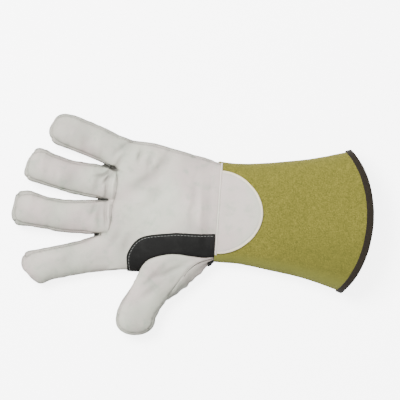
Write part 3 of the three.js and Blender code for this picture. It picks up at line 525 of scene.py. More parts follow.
# Corners of the fingertips, and the gathers at the outer edge of the thumb's base: round
# places where the edge of the outline stands out further, or less far.
bulges = table(
    "x y reach out",
    (-155.5, 51, 7, 1.6), (-162.5, 46, 5, -1.6), (-167, 25.5, 6, 1.5), (-174.5, 8.5, 6, 3.0),
    (-164, 10.5, 7, 1.4), (-178, -13.5, 8, 1.3), (-173.5, -24.5, 7, 1.5), (-161.3, -52.6, 8, 2.2),
    (-164.5, -64, 6, 1.0), (-158.6, -73.7, 5, -1.3), (-145.5, -82, 6, 2.3), (-139, 60, 7, 1.2),
    (-142, 81, 4, -0.8), (-150, 84, 8, 0.8), (-149, 72, 6, 0.8), (21.5, -52.5, 3.6, -1.6),
    (13.6, -60, 2.6, 1.0), (7.2, -69.5, 2.8, 1.1), (1.2, -75, 2.8, 1.0), (-8.5, -81, 3, 0.9),
    (-16, -87.5, 3, 0.7),
)


# How far round the wrist from the palm a point lies: 1 on top, 0 at the side, -1 below.
def wristTurn(points):
    at = trunkAt(points[..., 0])
    above = points[..., 2] - at["mid"]
    return above / np.where(above > 0, at["up"], at["down"])


# The sides and back of the hand end inside the cuff, a cuff's thickness further in.
def tuck(points):
    turn = wristTurn(points)
    end = glove["palmEnd"] - wristBow(points[..., 0], points[..., 1]) * (turn < 0)
    return glove["tuck"] * smooth(points[..., 0] - end, -9, -3) * (1 - smooth(turn, 0, 0.5))


# The places with which the creases are looked up, so that the creases wander a little.
def wander(points):
    return points[..., 0] + 1.1 * noise(points, 8, 11), points[..., 1] + 1.1 * noise(points, 8, 12)


# Near the floor, what looks down stands out no further than the smooth form.
def aboveFloor(points, normals, out, height):
    held = np.minimum(out, out * smooth(points[..., 2], 0, height))
    return np.where(normals[..., 2] < 0, held, out)


# How far the leather stands out from the smooth form along its normal: noise of several
# sizes, and the bulges where the face looks sideways, less the creases and the tuck.
def relief(points, normals):
    up, down = (smooth(sign * normals[..., 2], 0.1, 0.6) for sign in (1, -1))
    sideways = 1 - smooth(np.abs(normals[..., 2]), 0.2, 0.8)
    out = bumps(points, (0.55, 26, 3), (0.3, 11, 5), (0.14, 5, 8))
    out += 0.26 * smooth(-points[..., 0], 80, 100) * noise(points / [1, 3, 2], 4.5, 9)
    out += sideways * spots(bulges, points[..., 0], points[..., 1])
    where = wander(points)
    creases = up * folds(palmCreases, *where) + down * folds(backCreases, *where)
    return aboveFloor(points, normals, out - glove["creased"] * creases, 2.5) - tuck(points)


# The distance from each point to the nearest of the given ones, and that one's place.
def nearest(points, targets, reach=12.0):
    distance = np.full(len(points), reach)
    which = np.zeros(len(points), int)
    order = np.argsort(targets[:, 0])
    targets = targets[order]
    chunks = np.array_split(np.argsort(points[:, 0]), max(1, len(points) // 1500))
    for chunk in chunks:
        p = points[chunk]
        low, high = np.searchsorted(targets[:, 0], [p[0, 0] - reach, p[-1, 0] + reach])
        if low == high:
            continue
        near = targets[low:high]
        square = (p ** 2).sum(1)[:, None] + (near ** 2).sum(1)[None] - 2 * p @ near.T
        best = square.argmin(1)
        d = np.sqrt(np.maximum(0, square[np.arange(len(p)), best]))
        distance[chunk] = np.minimum(reach, d)
        which[chunk] = order[low + best]
    return distance, which


# From millimetres in the outline's frame to metres round the middle of the glove.
def toFrame(points):
    return (points - np.array([glove["centreX"], glove["centreY"], 0])) / 1000


# An object of the scene from its data.
def addObject(name, data):
    thing = bpy.data.objects.new(name, data)
    bpy.context.collection.objects.link(thing)
    return thing


# A piece from points in millimetres, with values stored on its points. With thick, it is a
# sheet, which grows inwards from its points (outward -1) or outwards (outward 1).
def makePiece(name, points, faces, material, slot, values=None, replaced=(), thick=0, outward=-1):
    used, faces = np.unique(faces, return_inverse=True)
    faces = faces.reshape(-1, 4)
    data = bpy.data.meshes.new(name)
    data.vertices.add(len(used))
    data.vertices.foreach_set("co", toFrame(points[used]).astype(np.float32).ravel())
    data.loops.add(faces.size)
    data.loops.foreach_set("vertex_index", faces.astype(np.int32).ravel())
    data.polygons.add(len(faces))
    data.polygons.foreach_set("loop_start", np.arange(0, faces.size, 4, dtype=np.int32))
    for key, value in (values or {}).items():
        layer = data.attributes.new(key, "FLOAT", "POINT")
        layer.data.foreach_set("value", value[used].astype(np.float32))
    data.update(calc_edges=True)
    data.validate()
    data.shade_smooth()
    piece = addObject(name, data)
    data.materials.append(materials[material])
    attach(piece, "root")
    if replaced:
        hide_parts(*replaced)
    if thick:
        solid = piece.modifiers.new("thickness", "SOLIDIFY")
        solid.thickness, solid.offset = thick / 1000, outward
        solid.use_even_offset, solid.use_quality_normals = False, True


# A piece from one grid of points. A closed grid is joined where its edges meet.
def gridPiece(name, grid, material, slot, values, turned=False, closed=False, **more):
    points, faces = grid.reshape(-1, 3), sheetFaces(grid.shape, turned)
    values = {key: np.broadcast_to(value, grid.shape[:2]).ravel() for key, value in values.items()}
    if closed:
        kept, faces = joinPoints(points, faces)
        points, values = points[kept], {key: value[kept] for key, value in values.items()}
    makePiece(name, points, faces, material, slot, values, **more)


# Red, green and blue from 0 to 255 as linear values: ((c / 255 + 0.055) / 1.055)^2.4.
def colour(shade):
    return (*(((c / 255 + 0.055) / 1.055) ** 2.4 for c in shade), 1.0)


# A node tree with short ways to add to it. Inputs are given by name or, as _0, by number.
class Tree:
    def __init__(self, tree):
        self.tree = tree

    def put(self, socket, value):
        if isinstance(value, bpy.types.NodeSocket):
            self.tree.links.new(value, socket)
        else:
            socket.default_value = value

    def add(self, kind, settings=None, **inputs):
        node = self.tree.nodes.new("ShaderNode" + kind)
        for key, value in (settings or {}).items():
            setattr(node, key, value)
        for key, value in inputs.items():
            self.put(node.inputs[int(key[1:]) if key[0] == "_" else key.replace("_", " ")], value)
        return node.outputs

    def maths(self, operation, a, b=0.0, clamp=False):
        return self.add("Math", {"operation": operation, "use_clamp": clamp}, _0=a, _1=b)[0]

    def times(self, a, b):
        return self.maths("MULTIPLY", a, b)

    def stretch(self, value, low, high, newLow=0.0, newHigh=1.0):
        return self.add("MapRange", None, Value=value, From_Min=low, From_Max=high,
                        To_Min=newLow, To_Max=newHigh)[0]

    def cloud(self, vector, scale, detail, **more):
        return self.add("TexNoise", None, Vector=vector, Scale=scale, Detail=detail, **more)[0]

    def attribute(self, name):
        return self.add("Attribute", {"attribute_name": name})["Fac"]


# A node group with a vector and some numbers as inputs, from a function that builds it.
def makeGroup(name, numbers, labels, build):
    group = bpy.data.node_groups.new(name, "ShaderNodeTree")
    sockets = group.interface
    sockets.new_socket("Vector", in_out="INPUT", socket_type="NodeSocketVector")
    for label, value in numbers.items():
        socket = sockets.new_socket(label, in_out="INPUT", socket_type="NodeSocketFloat")
        socket.default_value = value
    for label in labels:
        sockets.new_socket(label, in_out="OUTPUT", socket_type="NodeSocketFloat")
    given, result = group.nodes.new("NodeGroupInput"), group.nodes.new("NodeGroupOutput")
    for label, value in zip(labels, build(Tree(group), given.outputs)):
        group.links.new(value, result.inputs[label])
    return group


# Grain of smooth leather: small cells with pores, fine wrinkles, and slow blotches.
def grainNodes(tree, given):
    vector = given["Vector"]
    scale = tree.maths("DIVIDE", 1000.0, given["Cell Size"])
    warp = tree.add("TexNoise", None, Vector=vector, Scale=260.0, Detail=2.0)["Color"]
    warped = tree.add("VectorMath", {"operation": "MULTIPLY_ADD"}, _0=warp, _1=(0.0012,) * 3,
                      _2=vector)[0]
    cell = tree.add("TexVoronoi", {"feature": "DISTANCE_TO_EDGE"}, Vector=warped, Scale=scale)
    distance = cell["Distance"]
    fine = tree.times(tree.cloud(vector, 2600.0, 2.0), 0.3)
    wrinkle = tree.cloud(warped, 190.0, 4.0, Roughness=0.62, Distortion=0.6)
    lines = tree.times(tree.times(wrinkle, given["Wrinkle"]), 3.0)
    height = tree.maths("ADD", tree.maths("ADD", tree.stretch(distance, 0.0, 0.22), fine), lines)
    pores = tree.stretch(distance, 0.05, 0.0)
    streak = tree.cloud(vector, 95.0, 6.0, Roughness=0.6, Distortion=0.4)
    return height, pores, tree.cloud(vector, 24.0, 3.0), streak


# Nap of split leather and tape: short fibres lying every way, with broad patches.
def napNodes(tree, given):
    vector = given["Vector"]
    scale = tree.maths("DIVIDE", 1000.0, given["Fibre Size"])
    fibre = tree.cloud(vector, scale, 4.0, Roughness=0.7, Distortion=1.2)
    speckle = tree.cloud(vector, tree.times(scale, 0.45), 3.0, Roughness=0.65)
    height = tree.maths("ADD", fibre, tree.times(speckle, 0.8))
    mottle = tree.cloud(vector, 210.0, 5.0, Roughness=0.7)
    return height, speckle, mottle, tree.cloud(vector, 16.0, 2.0)


groups = {
    "grain": makeGroup("leatherGrain", {"Cell Size": 0.8, "Wrinkle": 0.5},
                       ("Height", "Pores", "Blotch", "Streak"), grainNodes),
    "nap": makeGroup("suedeNap", {"Fibre Size": 1.0}, ("Height", "Speckle", "Mottle", "Patches"),
                     napNodes),
}


# A material whose tone is laid in layers: each covers a share of the tone below it.
class Paint(Tree):
    def __init__(self, name, look, first="base"):
        self.material = bpy.data.materials.new(name)
        self.material.use_nodes = True
        super().__init__(self.material.node_tree)
        self.look, self.tone = look, colour(look[first])
        self.shader = self.tree.nodes["Principled BSDF"].inputs
        for socket, key in (("Roughness", "roughness"), ("Specular IOR Level", "specular"),
                            ("Sheen Weight", "sheen")):
            self.shader[socket].default_value = look[key]
        self.shader["Sheen Roughness"].default_value = 0.6
        self.vector = self.add("TexCoord")["Object"]

    def group(self, name, **inputs):
        return self.add("Group", {"node_tree": groups[name]}, Vector=self.vector, **inputs)

    def cover(self, share, name):
        self.tone = self.add("Mix", {"data_type": "RGBA"}, _0=share, _6=self.tone,
                             _7=colour(self.look[name]))[2]

    def finish(self, height, strength):
        bump = self.add("Bump", None, Strength=strength, Distance=self.look["depth"], Height=height)
        self.put(self.shader["Normal"], bump[0])
        self.put(self.shader["Base Color"], self.tone)
        return self.material


# Colours are red, green and blue from 0 to 255. Depths are in metres, sizes in millimetres.
# The deep colour is for painted shade in gaps, creases and hollows, and for darker tone.
grainLeather = {
    "base": (172, 172, 159), "pink": (180, 168, 162), "green": (147, 158, 142),
    "seam": (96, 97, 88), "deep": (34, 37, 33), "rim": (206, 194, 164),
    "roughness": 0.58, "specular": 0.35, "sheen": 0.0, "cellSize": 0.75, "depth": 0.00011,
}
blackLeather = {
    "base": (12, 12, 11), "worn": (24, 24, 23),
    "roughness": 0.75, "specular": 0.15, "sheen": 0.0, "cellSize": 0.9, "depth": 0.0001,
}
suede = {
    "base": (85, 82, 30), "light": (111, 105, 44), "dark": (65, 66, 24), "green": (92, 93, 40),
    "sheenTint": (220, 214, 150),
    "roughness": 0.93, "specular": 0.1, "sheen": 0.15, "fibreSize": 0.55, "depth": 0.0003,
}
tape = {
    "base": (21, 17, 12), "light": (37, 31, 22),
    "roughness": 0.85, "specular": 0.1, "sheen": 0.05, "ribs": 0.9, "depth": 0.0002,
}
thread = {"roughness": 0.7, "specular": 0.35, "sheen": 0.2, "shadow": 0.72, "depth": 0.0001}
threadColours = {"pale": (104, 106, 101), "cream": (214, 208, 190), "dark": (62, 54, 48)}


# Smooth leather: rosy and green patches, darker pores, soil and painted shade along the seams,
# and painted shade on faces that look sideways, in the gaps and in the creases.
def grainMaterial():
    paint = Paint("grainLeather", grainLeather)
    grain = paint.group("grain", Cell_Size=grainLeather["cellSize"], Wrinkle=0.5)
    blotch = paint.stretch(grain["Blotch"], 0.42, 0.64)
    paint.cover(paint.maths("ADD", paint.attribute("pink"), blotch, True), "pink")
    paint.cover(paint.stretch(grain["Streak"], 0.52, 0.72, 0.0, 0.7), "green")
    paint.cover(paint.times(grain["Pores"], 0.16), "seam")
    # Soil and painted shade, in streaks: along the seams and on faces that look sideways.
    soilAndShadeStrength = paint.stretch(grain["Streak"], 0.35, 0.65, 0.05, 0.55)
    paint.cover(paint.times(paint.attribute("seam"), soilAndShadeStrength), "seam")
    # Painted shade, and darker tone: towards the deep colour in the gaps, creases and gathers.
    paint.cover(paint.times(paint.attribute("deep"), 0.85), "deep")
    # The half-moon's pale cut edge, painted lighter also as a highlight on that edge.
    paint.cover(paint.attribute("rim"), "rim")
    rough = grainLeather["roughness"]
    paint.put(paint.shader["Roughness"],
              paint.stretch(grain["Streak"], 0.3, 0.7, rough - 0.07, rough + 0.1))
    return paint.finish(grain["Height"], 0.55)


# Black leather, a little worn in streaks and along its edges.
def blackMaterial():
    paint = Paint("blackLeather", blackLeather)
    grain = paint.group("grain", Cell_Size=blackLeather["cellSize"], Wrinkle=0.7)
    paint.cover(paint.stretch(grain["Streak"], 0.5, 0.75, 0.0, 0.6), "worn")
    paint.cover(paint.times(paint.attribute("edge"), 0.5), "worn")
    return paint.finish(grain["Height"], 0.6)


# Split leather: mottled and speckled by its nap, painted shade towards its thumb side and hem,
# and greener and a little lighter in patches along its thumb side edge, a tint and painted light.
def suedeMaterial():
    paint = Paint("suedeCuff", suede, "dark")
    paint.shader["Sheen Tint"].default_value = colour(suede["sheenTint"])
    nap = paint.group("nap", Fibre_Size=suede["fibreSize"])
    paint.cover(paint.stretch(nap["Mottle"], 0.36, 0.66), "light")
    paint.cover(0.72, "base")
    paint.cover(paint.stretch(nap["Speckle"], 0.5, 0.7, 0.0, 0.9), "light")
    paint.cover(paint.stretch(nap["Speckle"], 0.48, 0.3, 0.0, 0.9), "dark")
    # Painted shade: the cuff is painted darker towards its thumb side and its hem.
    paint.cover(paint.attribute("shade"), "dark")
    # A tint and painted light: the thumb side edge is greener and a little lighter, in patches.
    edgePatches = paint.stretch(nap["Patches"], 0.3, 0.6, 0.5, 1.0)
    paint.cover(paint.maths("MULTIPLY", paint.attribute("edge"), edgePatches, True), "green")
    return paint.finish(nap["Height"], 0.75)


# Tape with fine ribs across it: the sine of the length along it.
def tapeMaterial():
    paint = Paint("bindingTape", tape)
    nap = paint.group("nap", Fibre_Size=0.5)
    ribs = paint.maths("SINE", paint.times(paint.attribute("along"), 2 * np.pi / tape["ribs"]))
    paint.cover(paint.stretch(nap["Speckle"], 0.4, 0.7, 0.0, 0.8), "light")
    return paint.finish(paint.maths("ADD", paint.times(ribs, 0.3), nap["Height"]), 0.6)


# Thread, darker between its fibres.
def threadMaterial(name, base):
    dark = tuple(c * thread["shadow"] for c in base)
    paint = Paint(name, {"base": base, "dark": dark, **thread}, "dark")
    nap = paint.group("nap", Fibre_Size=0.25)
    paint.cover(nap["Speckle"], "base")
    return paint.finish(nap["Height"], 0.5)


materials = {"grain": grainMaterial(), "black": blackMaterial(), "suede": suedeMaterial(),
             "tape": tapeMaterial()}
for name, base in threadColours.items():
    materials[name + "Thread"] = threadMaterial(name + "Thread", base)
print("materials made")

# The skin of the hand: fingers, palm, back and thumb as one joined surface. The spots
# are painted shade: darker patches by folds, by the roots of the fingers and by the strap.
skinLook = {
    "seamDepth": 0.75, "seamWidth": 1.5, "puckerDepth": 0.34, "puckerReach": 4.5,
    "sideShade": 0.6, "webLength": (8, 12.5, 7), "fingerShade": 0.07, "thumbShade": 0.05,
    "gatherShade": 0.17, "creaseShade": 0.38, "patchShade": 0.09, "paleMiddle": 0.25,
    "allShade": 0.225, "rimShade": 0.28, "seamShade": 1.45, "runOn": 1.5, "runOut": 0.8,
    "runIn": 0.6,
}
paintedShadeSpots = table(
    "x y reach shade",
    (-106, 33, 5, 0.05), (-76, 61, 13, 0.13), (-96, 46, 7, 0.09), (2, -12, 12, 0.12),
    (18, -17, 11, 0.17), (-42, 28, 9, 0.1), (-60, 42, 8, 0.08), (-81, 5, 7, 0.08),
    (-20, -21, 6, 0.05),
)
across, around, perRow = cells["across"], cells["around"], cells["perHandRow"]
limbs = [limb(finger, cells["along"], across) for finger in fingers]
# Neighbouring fingers share the line between them at the knuckle.
for one, other in zip(limbs, limbs[1:]):
    other["front"][0, 0], other["back"][0, 0] = one["front"][0, -1], one["back"][0, -1]
    other["left"][0] = one["right"][0]
places = np.arange(10 * perRow + 1) / perRow
firstThumb = thumbRow * perRow
palm, handBack = handGrid(1, places), handGrid(-1, places)
for grid, key in ((palm, "front"), (handBack, "back")):
    rows = [made[key][0][1 if i else 0:] for i, made in enumerate(limbs)]
    grid += (np.concatenate(rows) - grid[0]) * (1 - smooth(places, 0, 1))[:, None, None]


# A side of the hand, which goes on from a finger's wall: out to the rim and round.
def handWall(x, key, front, back, fingerWall):
    rim = trunkEdge(x, key)
    rim = rim + (fingerWall[around] - rim[0]) * (1 - smooth(places[:len(x)], 0, 1))[:, None]
    wall = wrap(front, rim, back, around)
    wall[0] = fingerWall
    return wall


leftWall = handWall(column(handRows["leftX"], places), "left", palm[:, 0], handBack[:, 0],
                    limbs[0]["left"][0])
sideFront, sideBack = palm[:firstThumb + 1, -1], handBack[:firstThumb + 1, -1]
sideWall = handWall((sideFront[:, 0] + sideBack[:, 0]) / 2, "right", sideFront, sideBack,
                    limbs[3]["right"][0])
thumbFront, thumbBack = palm[firstThumb:, -1], handBack[firstThumb:, -1]
wristRim = (thumbFront[-1] + thumbBack[-1]) / 2
wristRim[1] = trunkAt(glove["palmEnd"])["right"]
wristWall = wrap(thumbFront[-1:], wristRim[None], thumbBack[-1:], around, 0.8)[0]
thumbLimb = limb(thumb, cells["thumb"], len(thumbFront) - 1, base={
    "front": thumbFront, "back": thumbBack, "rims": (sideWall[-1, around], wristRim),
    "left": sideWall[-1], "right": wristWall,
})


# Creases along the strip of the thumb's back leather that shows beside the seam, and small
# gathers across it: noise, and pleats cos(2 pi (count col + 0.1)). Both fade out at the
# strip's edges, where it joins its neighbours.
stripLook = {"lengthwise": 1.3, "crosswise": 0.5, "pleat": 0.5, "pleatCount": 3.2}


def creaseStrip(wall):
    row, col = np.meshgrid(*(np.linspace(0, 1, size) for size in wall.shape[:2]), indexing="ij")
    lengthwise = noise(np.stack([row * 5, col * 9 + row * 3, 0 * row], -1), 1, 71)
    crosswise = noise(np.stack([row * 24, col * 1.5, 0 * row], -1), 1, 72)
    fade = np.sin(np.pi * col) * smooth(row, 0.02, 0.1) * (1 - smooth(row, 0.5, 0.7))
    out = stripLook["lengthwise"] * lengthwise + stripLook["crosswise"] * crosswise
    out += stripLook["pleat"] * np.cos(2 * np.pi * (stripLook["pleatCount"] * col + 0.1))
    return wall + gridNormals(wall) * (out * fade)[..., None]


thumbLimb["right"] = creaseStrip(thumbLimb["right"])


# The rows nearest to the fingers, from one line between two fingers to another.
def strips(rows, first, last):
    return rows[:perRow + 1, first * across:last * across + 1]


# At the wrist the leather runs on a little: on the palm side inwards, under the welt, and
# elsewhere outwards, to the cuff. The way out is the ray from the section's middle.
def runOn(row):
    way = unit(row - trunkEdge(row[:, 0], "centre"))
    out = lerp(skinLook["runOut"], -skinLook["runIn"], smooth(wristTurn(row), 0, 0.5))
    return np.stack([row, row + [skinLook["runOn"], 0, 0] + way * out[:, None]])


# Each grid with its panel and whether its faces are turned.
grids = [
    ("palm", palm[perRow:], True), ("palm", strips(palm, 0, 1), True),
    ("finger_fronts", strips(palm, 1, 3), True), ("palm", strips(palm, 3, 4), True),
    ("hand_back", handBack[perRow:], False), ("hand_back", strips(handBack, 0, 3), False),
    ("palm", strips(handBack, 3, 4), False), ("hand_back", leftWall, False),
    ("palm", sideWall, True), ("palm", runOn(palm[-1]), True),
    ("hand_back", runOn(handBack[-1]), False), ("hand_back", runOn(leftWall[-1]), False),
    ("thumb_back", runOn(thumbLimb["right"][0]), True),
]
sides = ("hand_back", "side_little_ring", "side_ring_middle", "side_middle_index", "palm")
fronts, backs = ("palm", "finger_fronts", "finger_fronts", "palm"), ("hand_back",) * 3 + ("palm",)
panelsOf = [*zip(fronts, backs, sides, sides[1:]), ("thumb_front",) + ("thumb_back",) * 3]
for made, (front, back, left, right) in zip(limbs + [thumbLimb], panelsOf):
    grids += [(front, made["front"], False), (back, made["back"], True),
              (left, made["left"], True), (right, made["right"], False),
              (back, made["round"], True)]
faces, panels, count = [], [], 0
for panel, grid, turned in grids:
    faces.append(sheetFaces(grid.shape, turned, count))
    panels += [panel] * len(faces[-1])
    count += grid.shape[0] * grid.shape[1]
points = np.concatenate([grid.reshape(-1, 3) for _, grid, _ in grids])
kept, faces = joinPoints(points, np.concatenate(faces))
points, panels = points[kept], np.array(panels)
print("skin joined:", len(points), "points")


# Points that lie on an edge between two panels.
def seamPoints(faces, panels):
    _, number = np.unique(panels, return_inverse=True)
    edges = np.sort(np.concatenate([faces[:, [k, (k + 1) % 4]] for k in range(4)]), axis=1)
    owner = np.tile(number, 4)
    code = edges[:, 0].astype(np.int64) * 10 ** 7 + edges[:, 1]
    order = np.argsort(code, kind="stable")
    code, owner, edges = code[order], owner[order], edges[order]
    same = np.concatenate([[False], code[1:] == code[:-1]])
    differ = np.concatenate([[False], (owner[1:] != owner[:-1]) & same[1:]])
    return np.unique(edges[differ])


normals = vertexNormals(points, faces)
seams = seamPoints(faces, panels)
distance, which = nearest(points, points[seams])
puckers = bumps(points[seams], (1, 2.3, 21), (0.6, 5.5, 22))[which]
puckers *= skinLook["puckerDepth"] * np.exp(-distance / skinLook["puckerReach"])
raised = relief(points, normals) + puckers * smooth(distance, 0.2, 2)
raised -= skinLook["seamDepth"] * bell(distance, skinLook["seamWidth"])


# The sides of two neighbouring fingers, near the knuckle between them.
def crotchLine(i):
    ends = (limbs[i]["right"][:, around], limbs[i + 1]["left"][:, around])
    count = min(len(end) for end in ends)
    line = (ends[0][:count] + ends[1][:count]) / 2
    reach = np.linalg.norm(line - line[0], axis=1)
    return [end[:count][reach < skinLook["webLength"][i]] for end in ends]


# A shade along a line of the plan: the bell of the distance to it.
def lineShade(points, line, reach, width, power):
    return bell(nearest(points * [1, 1, 0], line * [1, 1, 0], reach)[0], width, power)


# Painted shade: where two fingers meet, the leather between them is painted dark on the faces
# that look sideways, as the shade in the gap.
def crotchShade(points, normals):
    lines = [sum(crotchLine(i)) / 2 for i in range(3)]
    dark = np.max([lineShade(points, line, 8, 2.4, 2) for line in lines], axis=0)
    return dark * (1 - smooth(normals[:, 2], 0.35, 0.85))


# Painted shade and tone: the fingers and the thumb's base a little darker than the palm,
# painted shade along the creases, over the thumb's gathers and at the spots, random darker
# patches, and a paler middle of the palm.
def handShade(points):
    x, y = points[:, 0], points[:, 1]
    dark = skinLook["fingerShade"] * smooth(-x, 66, 100)
    dark += skinLook["thumbShade"] * smooth(-y, 60, 80) * smooth(x, -70, -50)
    gathers = np.array([(19, -49.5, 0), (4.9, -63.8, 0), (-4.3, -75.5, 0), (-12.7, -84, 0)])
    strip = np.stack([np.interp(np.linspace(0, 3, 91), range(4), line) for line in gathers.T], -1)
    dark += skinLook["gatherShade"] * lineShade(points, strip, 9, 4.4, 4)
    dark += spots(paintedShadeSpots, x, y)
    dark += skinLook["creaseShade"] * folds(palmCreases, *wander(points))
    dark += skinLook["patchShade"] * bumps(points, (1, 24, 14), (0.6, 9, 15))
    dark -= skinLook["paleMiddle"] * bell(x + 24, 34) * bell(y - 3, 26)
    return np.maximum(0, dark + skinLook["allShade"])


# Painted shade: faces that look sideways are painted darker, and those that look to +Y more so.
sideways = 1 - smooth(normals[:, 2], 0.1, 0.75)
rimShade = skinLook["rimShade"] * sideways * 0.75 * (1 + normals[:, 1])
shades = {
    "seam": np.maximum(bell(distance, skinLook["seamShade"]), skinLook["sideShade"] * sideways),
    "deep": np.maximum(crotchShade(points, normals), handShade(points) + rimShade),
    "pink": 0.6 * smooth(points[:, 0], -12, 20) * smooth(points[:, 1], -50, -42),
}
points = points + normals * raised[:, None]
points[:, 2] = np.maximum(points[:, 2], glove["lowest"])
# Each panel is a piece of its own, and stands for the node of the same name.
for name in ("palm", "finger_fronts", "hand_back", "side_little_ring", "side_ring_middle",
             "side_middle_index", "thumb_front", "thumb_back"):
    makePiece("leather_" + name, points, faces[panels == name], "grain", "grain_leather", shades,
              (name,), glove["handLeather"])

# A web of the side leather closes the bottom of each gap between two fingers: straight
# lines from side to side, sunk by a half wave. It is painted fully dark, as painted shade.
webLook = {"sunk": 1.0, "sag": 1.2, "past": 0.06, "columns": 9, "uneven": 0.3}
for i, name in enumerate(("little_ring", "ring_middle", "middle_index")):
    a, b = crotchLine(i)
    v = np.linspace(-webLook["past"], 1 + webLook["past"], webLook["columns"])[None, :, None]
    web = lerp(a[:, None], b[:, None], v)
    web[..., 2] -= webLook["sunk"] + webLook["sag"] * np.sin(np.pi * np.clip(v[..., 0], 0, 1))
    web[..., 2] += webLook["uneven"] * noise(web, 4, 73)
    gridPiece("web_" + name, web, "grain", "grain_leather", {"seam": 1, "deep": 1},
              thick=glove["handLeather"])
print("hand leather made")


# Samples a grid of points at fractional rows and columns.
def sampleGrid(grid, row, col):
    r = np.clip(np.floor(row).astype(int), 0, grid.shape[0] - 2)
    c = np.clip(np.floor(col).astype(int), 0, grid.shape[1] - 2)
    fr, fc = (row - r)[:, None], (col - c)[:, None]
    top = lerp(grid[r, c], grid[r, c + 1], fc)
    return lerp(top, lerp(grid[r + 1, c], grid[r + 1, c + 1], fc), fr)


# The length of a path up to each of its points.
def pathLength(path):
    return np.concatenate([[0], np.cumsum(np.linalg.norm(np.diff(path, axis=0), axis=1))])


# A line of thread: each stitch is a short six-sided cord, sunk at its two ends.
stitchLook = {"pitch": 3.3, "length": 2.5, "radius": 0.24, "lift": 0.12}


def stitchLine(name, path, normal, material, slot, **changes):
    look = {**stitchLook, **changes}
    length, radius = look["length"], look["radius"]
    steps = pathLength(path)
    count = int(steps[-1] // look["pitch"])
    start = (np.arange(count) + 0.5) * steps[-1] / count - length / 2
    s, turn = np.linspace(0, 1, 6), np.arange(6) * np.pi / 3
    at = start[:, None] + s[None] * length
    spot, up = (np.stack([np.interp(at, steps, line[:, k]) for k in range(3)], -1)
                for line in (path, normal))
    up = unit(up)
    side = unit(np.cross(np.gradient(spot, axis=1), up))
    sink = (np.sin(np.pi * s) ** 0.6)[None, :, None]
    spot = spot + up * (look["lift"] + radius * (sink - 0.9))
    size = radius * (0.45 + 0.55 * np.sin(np.pi * np.clip(s, 0.06, 0.94)))[None, :, None, None]
    ring = side[:, :, None] * np.cos(turn)[:, None] + up[:, :, None] * np.sin(turn)[:, None]
    tube = spot[:, :, None] + ring * size
    index = np.arange(count * 36).reshape(count, 6, 6)
    over = np.roll(index, -1, axis=2)
    walls = np.stack([index[:, :-1], over[:, :-1], over[:, 1:], index[:, 1:]], -1).reshape(-1, 4)
    ends = [index[:, 0][:, [0, 3, 2, 1]], index[:, 0][:, [0, 5, 4, 3]],
            index[:, -1][:, [0, 1, 2, 3]], index[:, -1][:, [0, 3, 4, 5]]]
    makePiece(name, tube.reshape(-1, 3), np.concatenate([walls] + ends), material, slot)


# The black strap round the opening of the thumb: rows across it from the wrist on the palm
# side, round the crotch, to the wrist on the back, each point on the hand's own surface.
strapLook = {"perRow": 10, "across": 18, "roundRows": 7, "above": 0.35, "stitchInset": 2.1,
             "rolled": 0.45, "sunk": 0.35}


# Each row is a straight line of the plan, from the thumb's opening to the strap's outer
# edge, laid on the palm or the back. Rounded-square quarters carry it round the crotch.
def strapGrid():
    span = len(strapRows["frontX"]) - 1
    place = np.arange(span * strapLook["perRow"] + 1) / strapLook["perRow"]
    t = np.linspace(0, 1, strapLook["across"] + 1)[None]

    def half(side, hand):
        key = "front" if side > 0 else "back"
        edgeY = strapRows[key + "Y"].copy()
        edgeY[0] = trunkAt(strapRows[key + "X"][0])["right"] + glove["sideInset"]
        edge = [column(values, place)[:, None] for values in (strapRows[key + "X"], edgeY)]
        inner = sampleGrid(hand, (thumbRow + place) * perRow, np.full(len(place), 4.0 * across))
        x, y = (lerp(inner[:, k:k + 1], edge[k], t) for k in (0, 1))
        grid = handPoints(x, y, side)
        grid[:, 0] = inner
        return grid

    front, back = half(1, palm), half(-1, handBack)
    rim = trunkEdge((front[0, :, 0] + back[0, :, 0]) / 2, "right")
    crotch = wrap(front[0], rim, back[0], strapLook["roundRows"]).transpose(1, 0, 2)
    return np.concatenate([front[:0:-1], crotch, back[1:]])


strap = strapGrid()
strapNormal = gridNormals(strap)
strap = strap + strapNormal * (relief(strap, strapNormal) + strapLook["above"])[..., None]
width = np.linalg.norm(strap[:, -1] - strap[:, 0], axis=1)[:, None]
inward = np.linspace(0, 1, strap.shape[1])[None] * width
edgeGap = np.minimum(inward, width - inward)
seamGap = width - inward - strapLook["stitchInset"]
# Its edges roll down a little, and it is drawn in along its line of stitches.
rolled = strapLook["rolled"] * bell(edgeGap, 0.8) + strapLook["sunk"] * bell(seamGap, 0.7)
strap = strap - strapNormal * rolled[..., None]
gridPiece("strap", strap, "black", "black_leather", {"edge": bell(edgeGap, 0.7)},
          turned=True, replaced=("thumb_strap",), thick=glove["patchLeather"], outward=1)

# The end of the strap shows as a small tab beside the wrist, over the thumb's back leather.
# Its section is a rounded fold: out to the rim and back under the hand. Where the leather
# is near, the tab follows it: it moves along the normal of the nearest leather point.
tabLook = {"start": 20.2, "end": 27.0, "outY": -52.1, "slope": 0.2, "over": 4.7,
           "up": 9.0, "down": 8.0, "above": 0.9, "leather": 0.8}


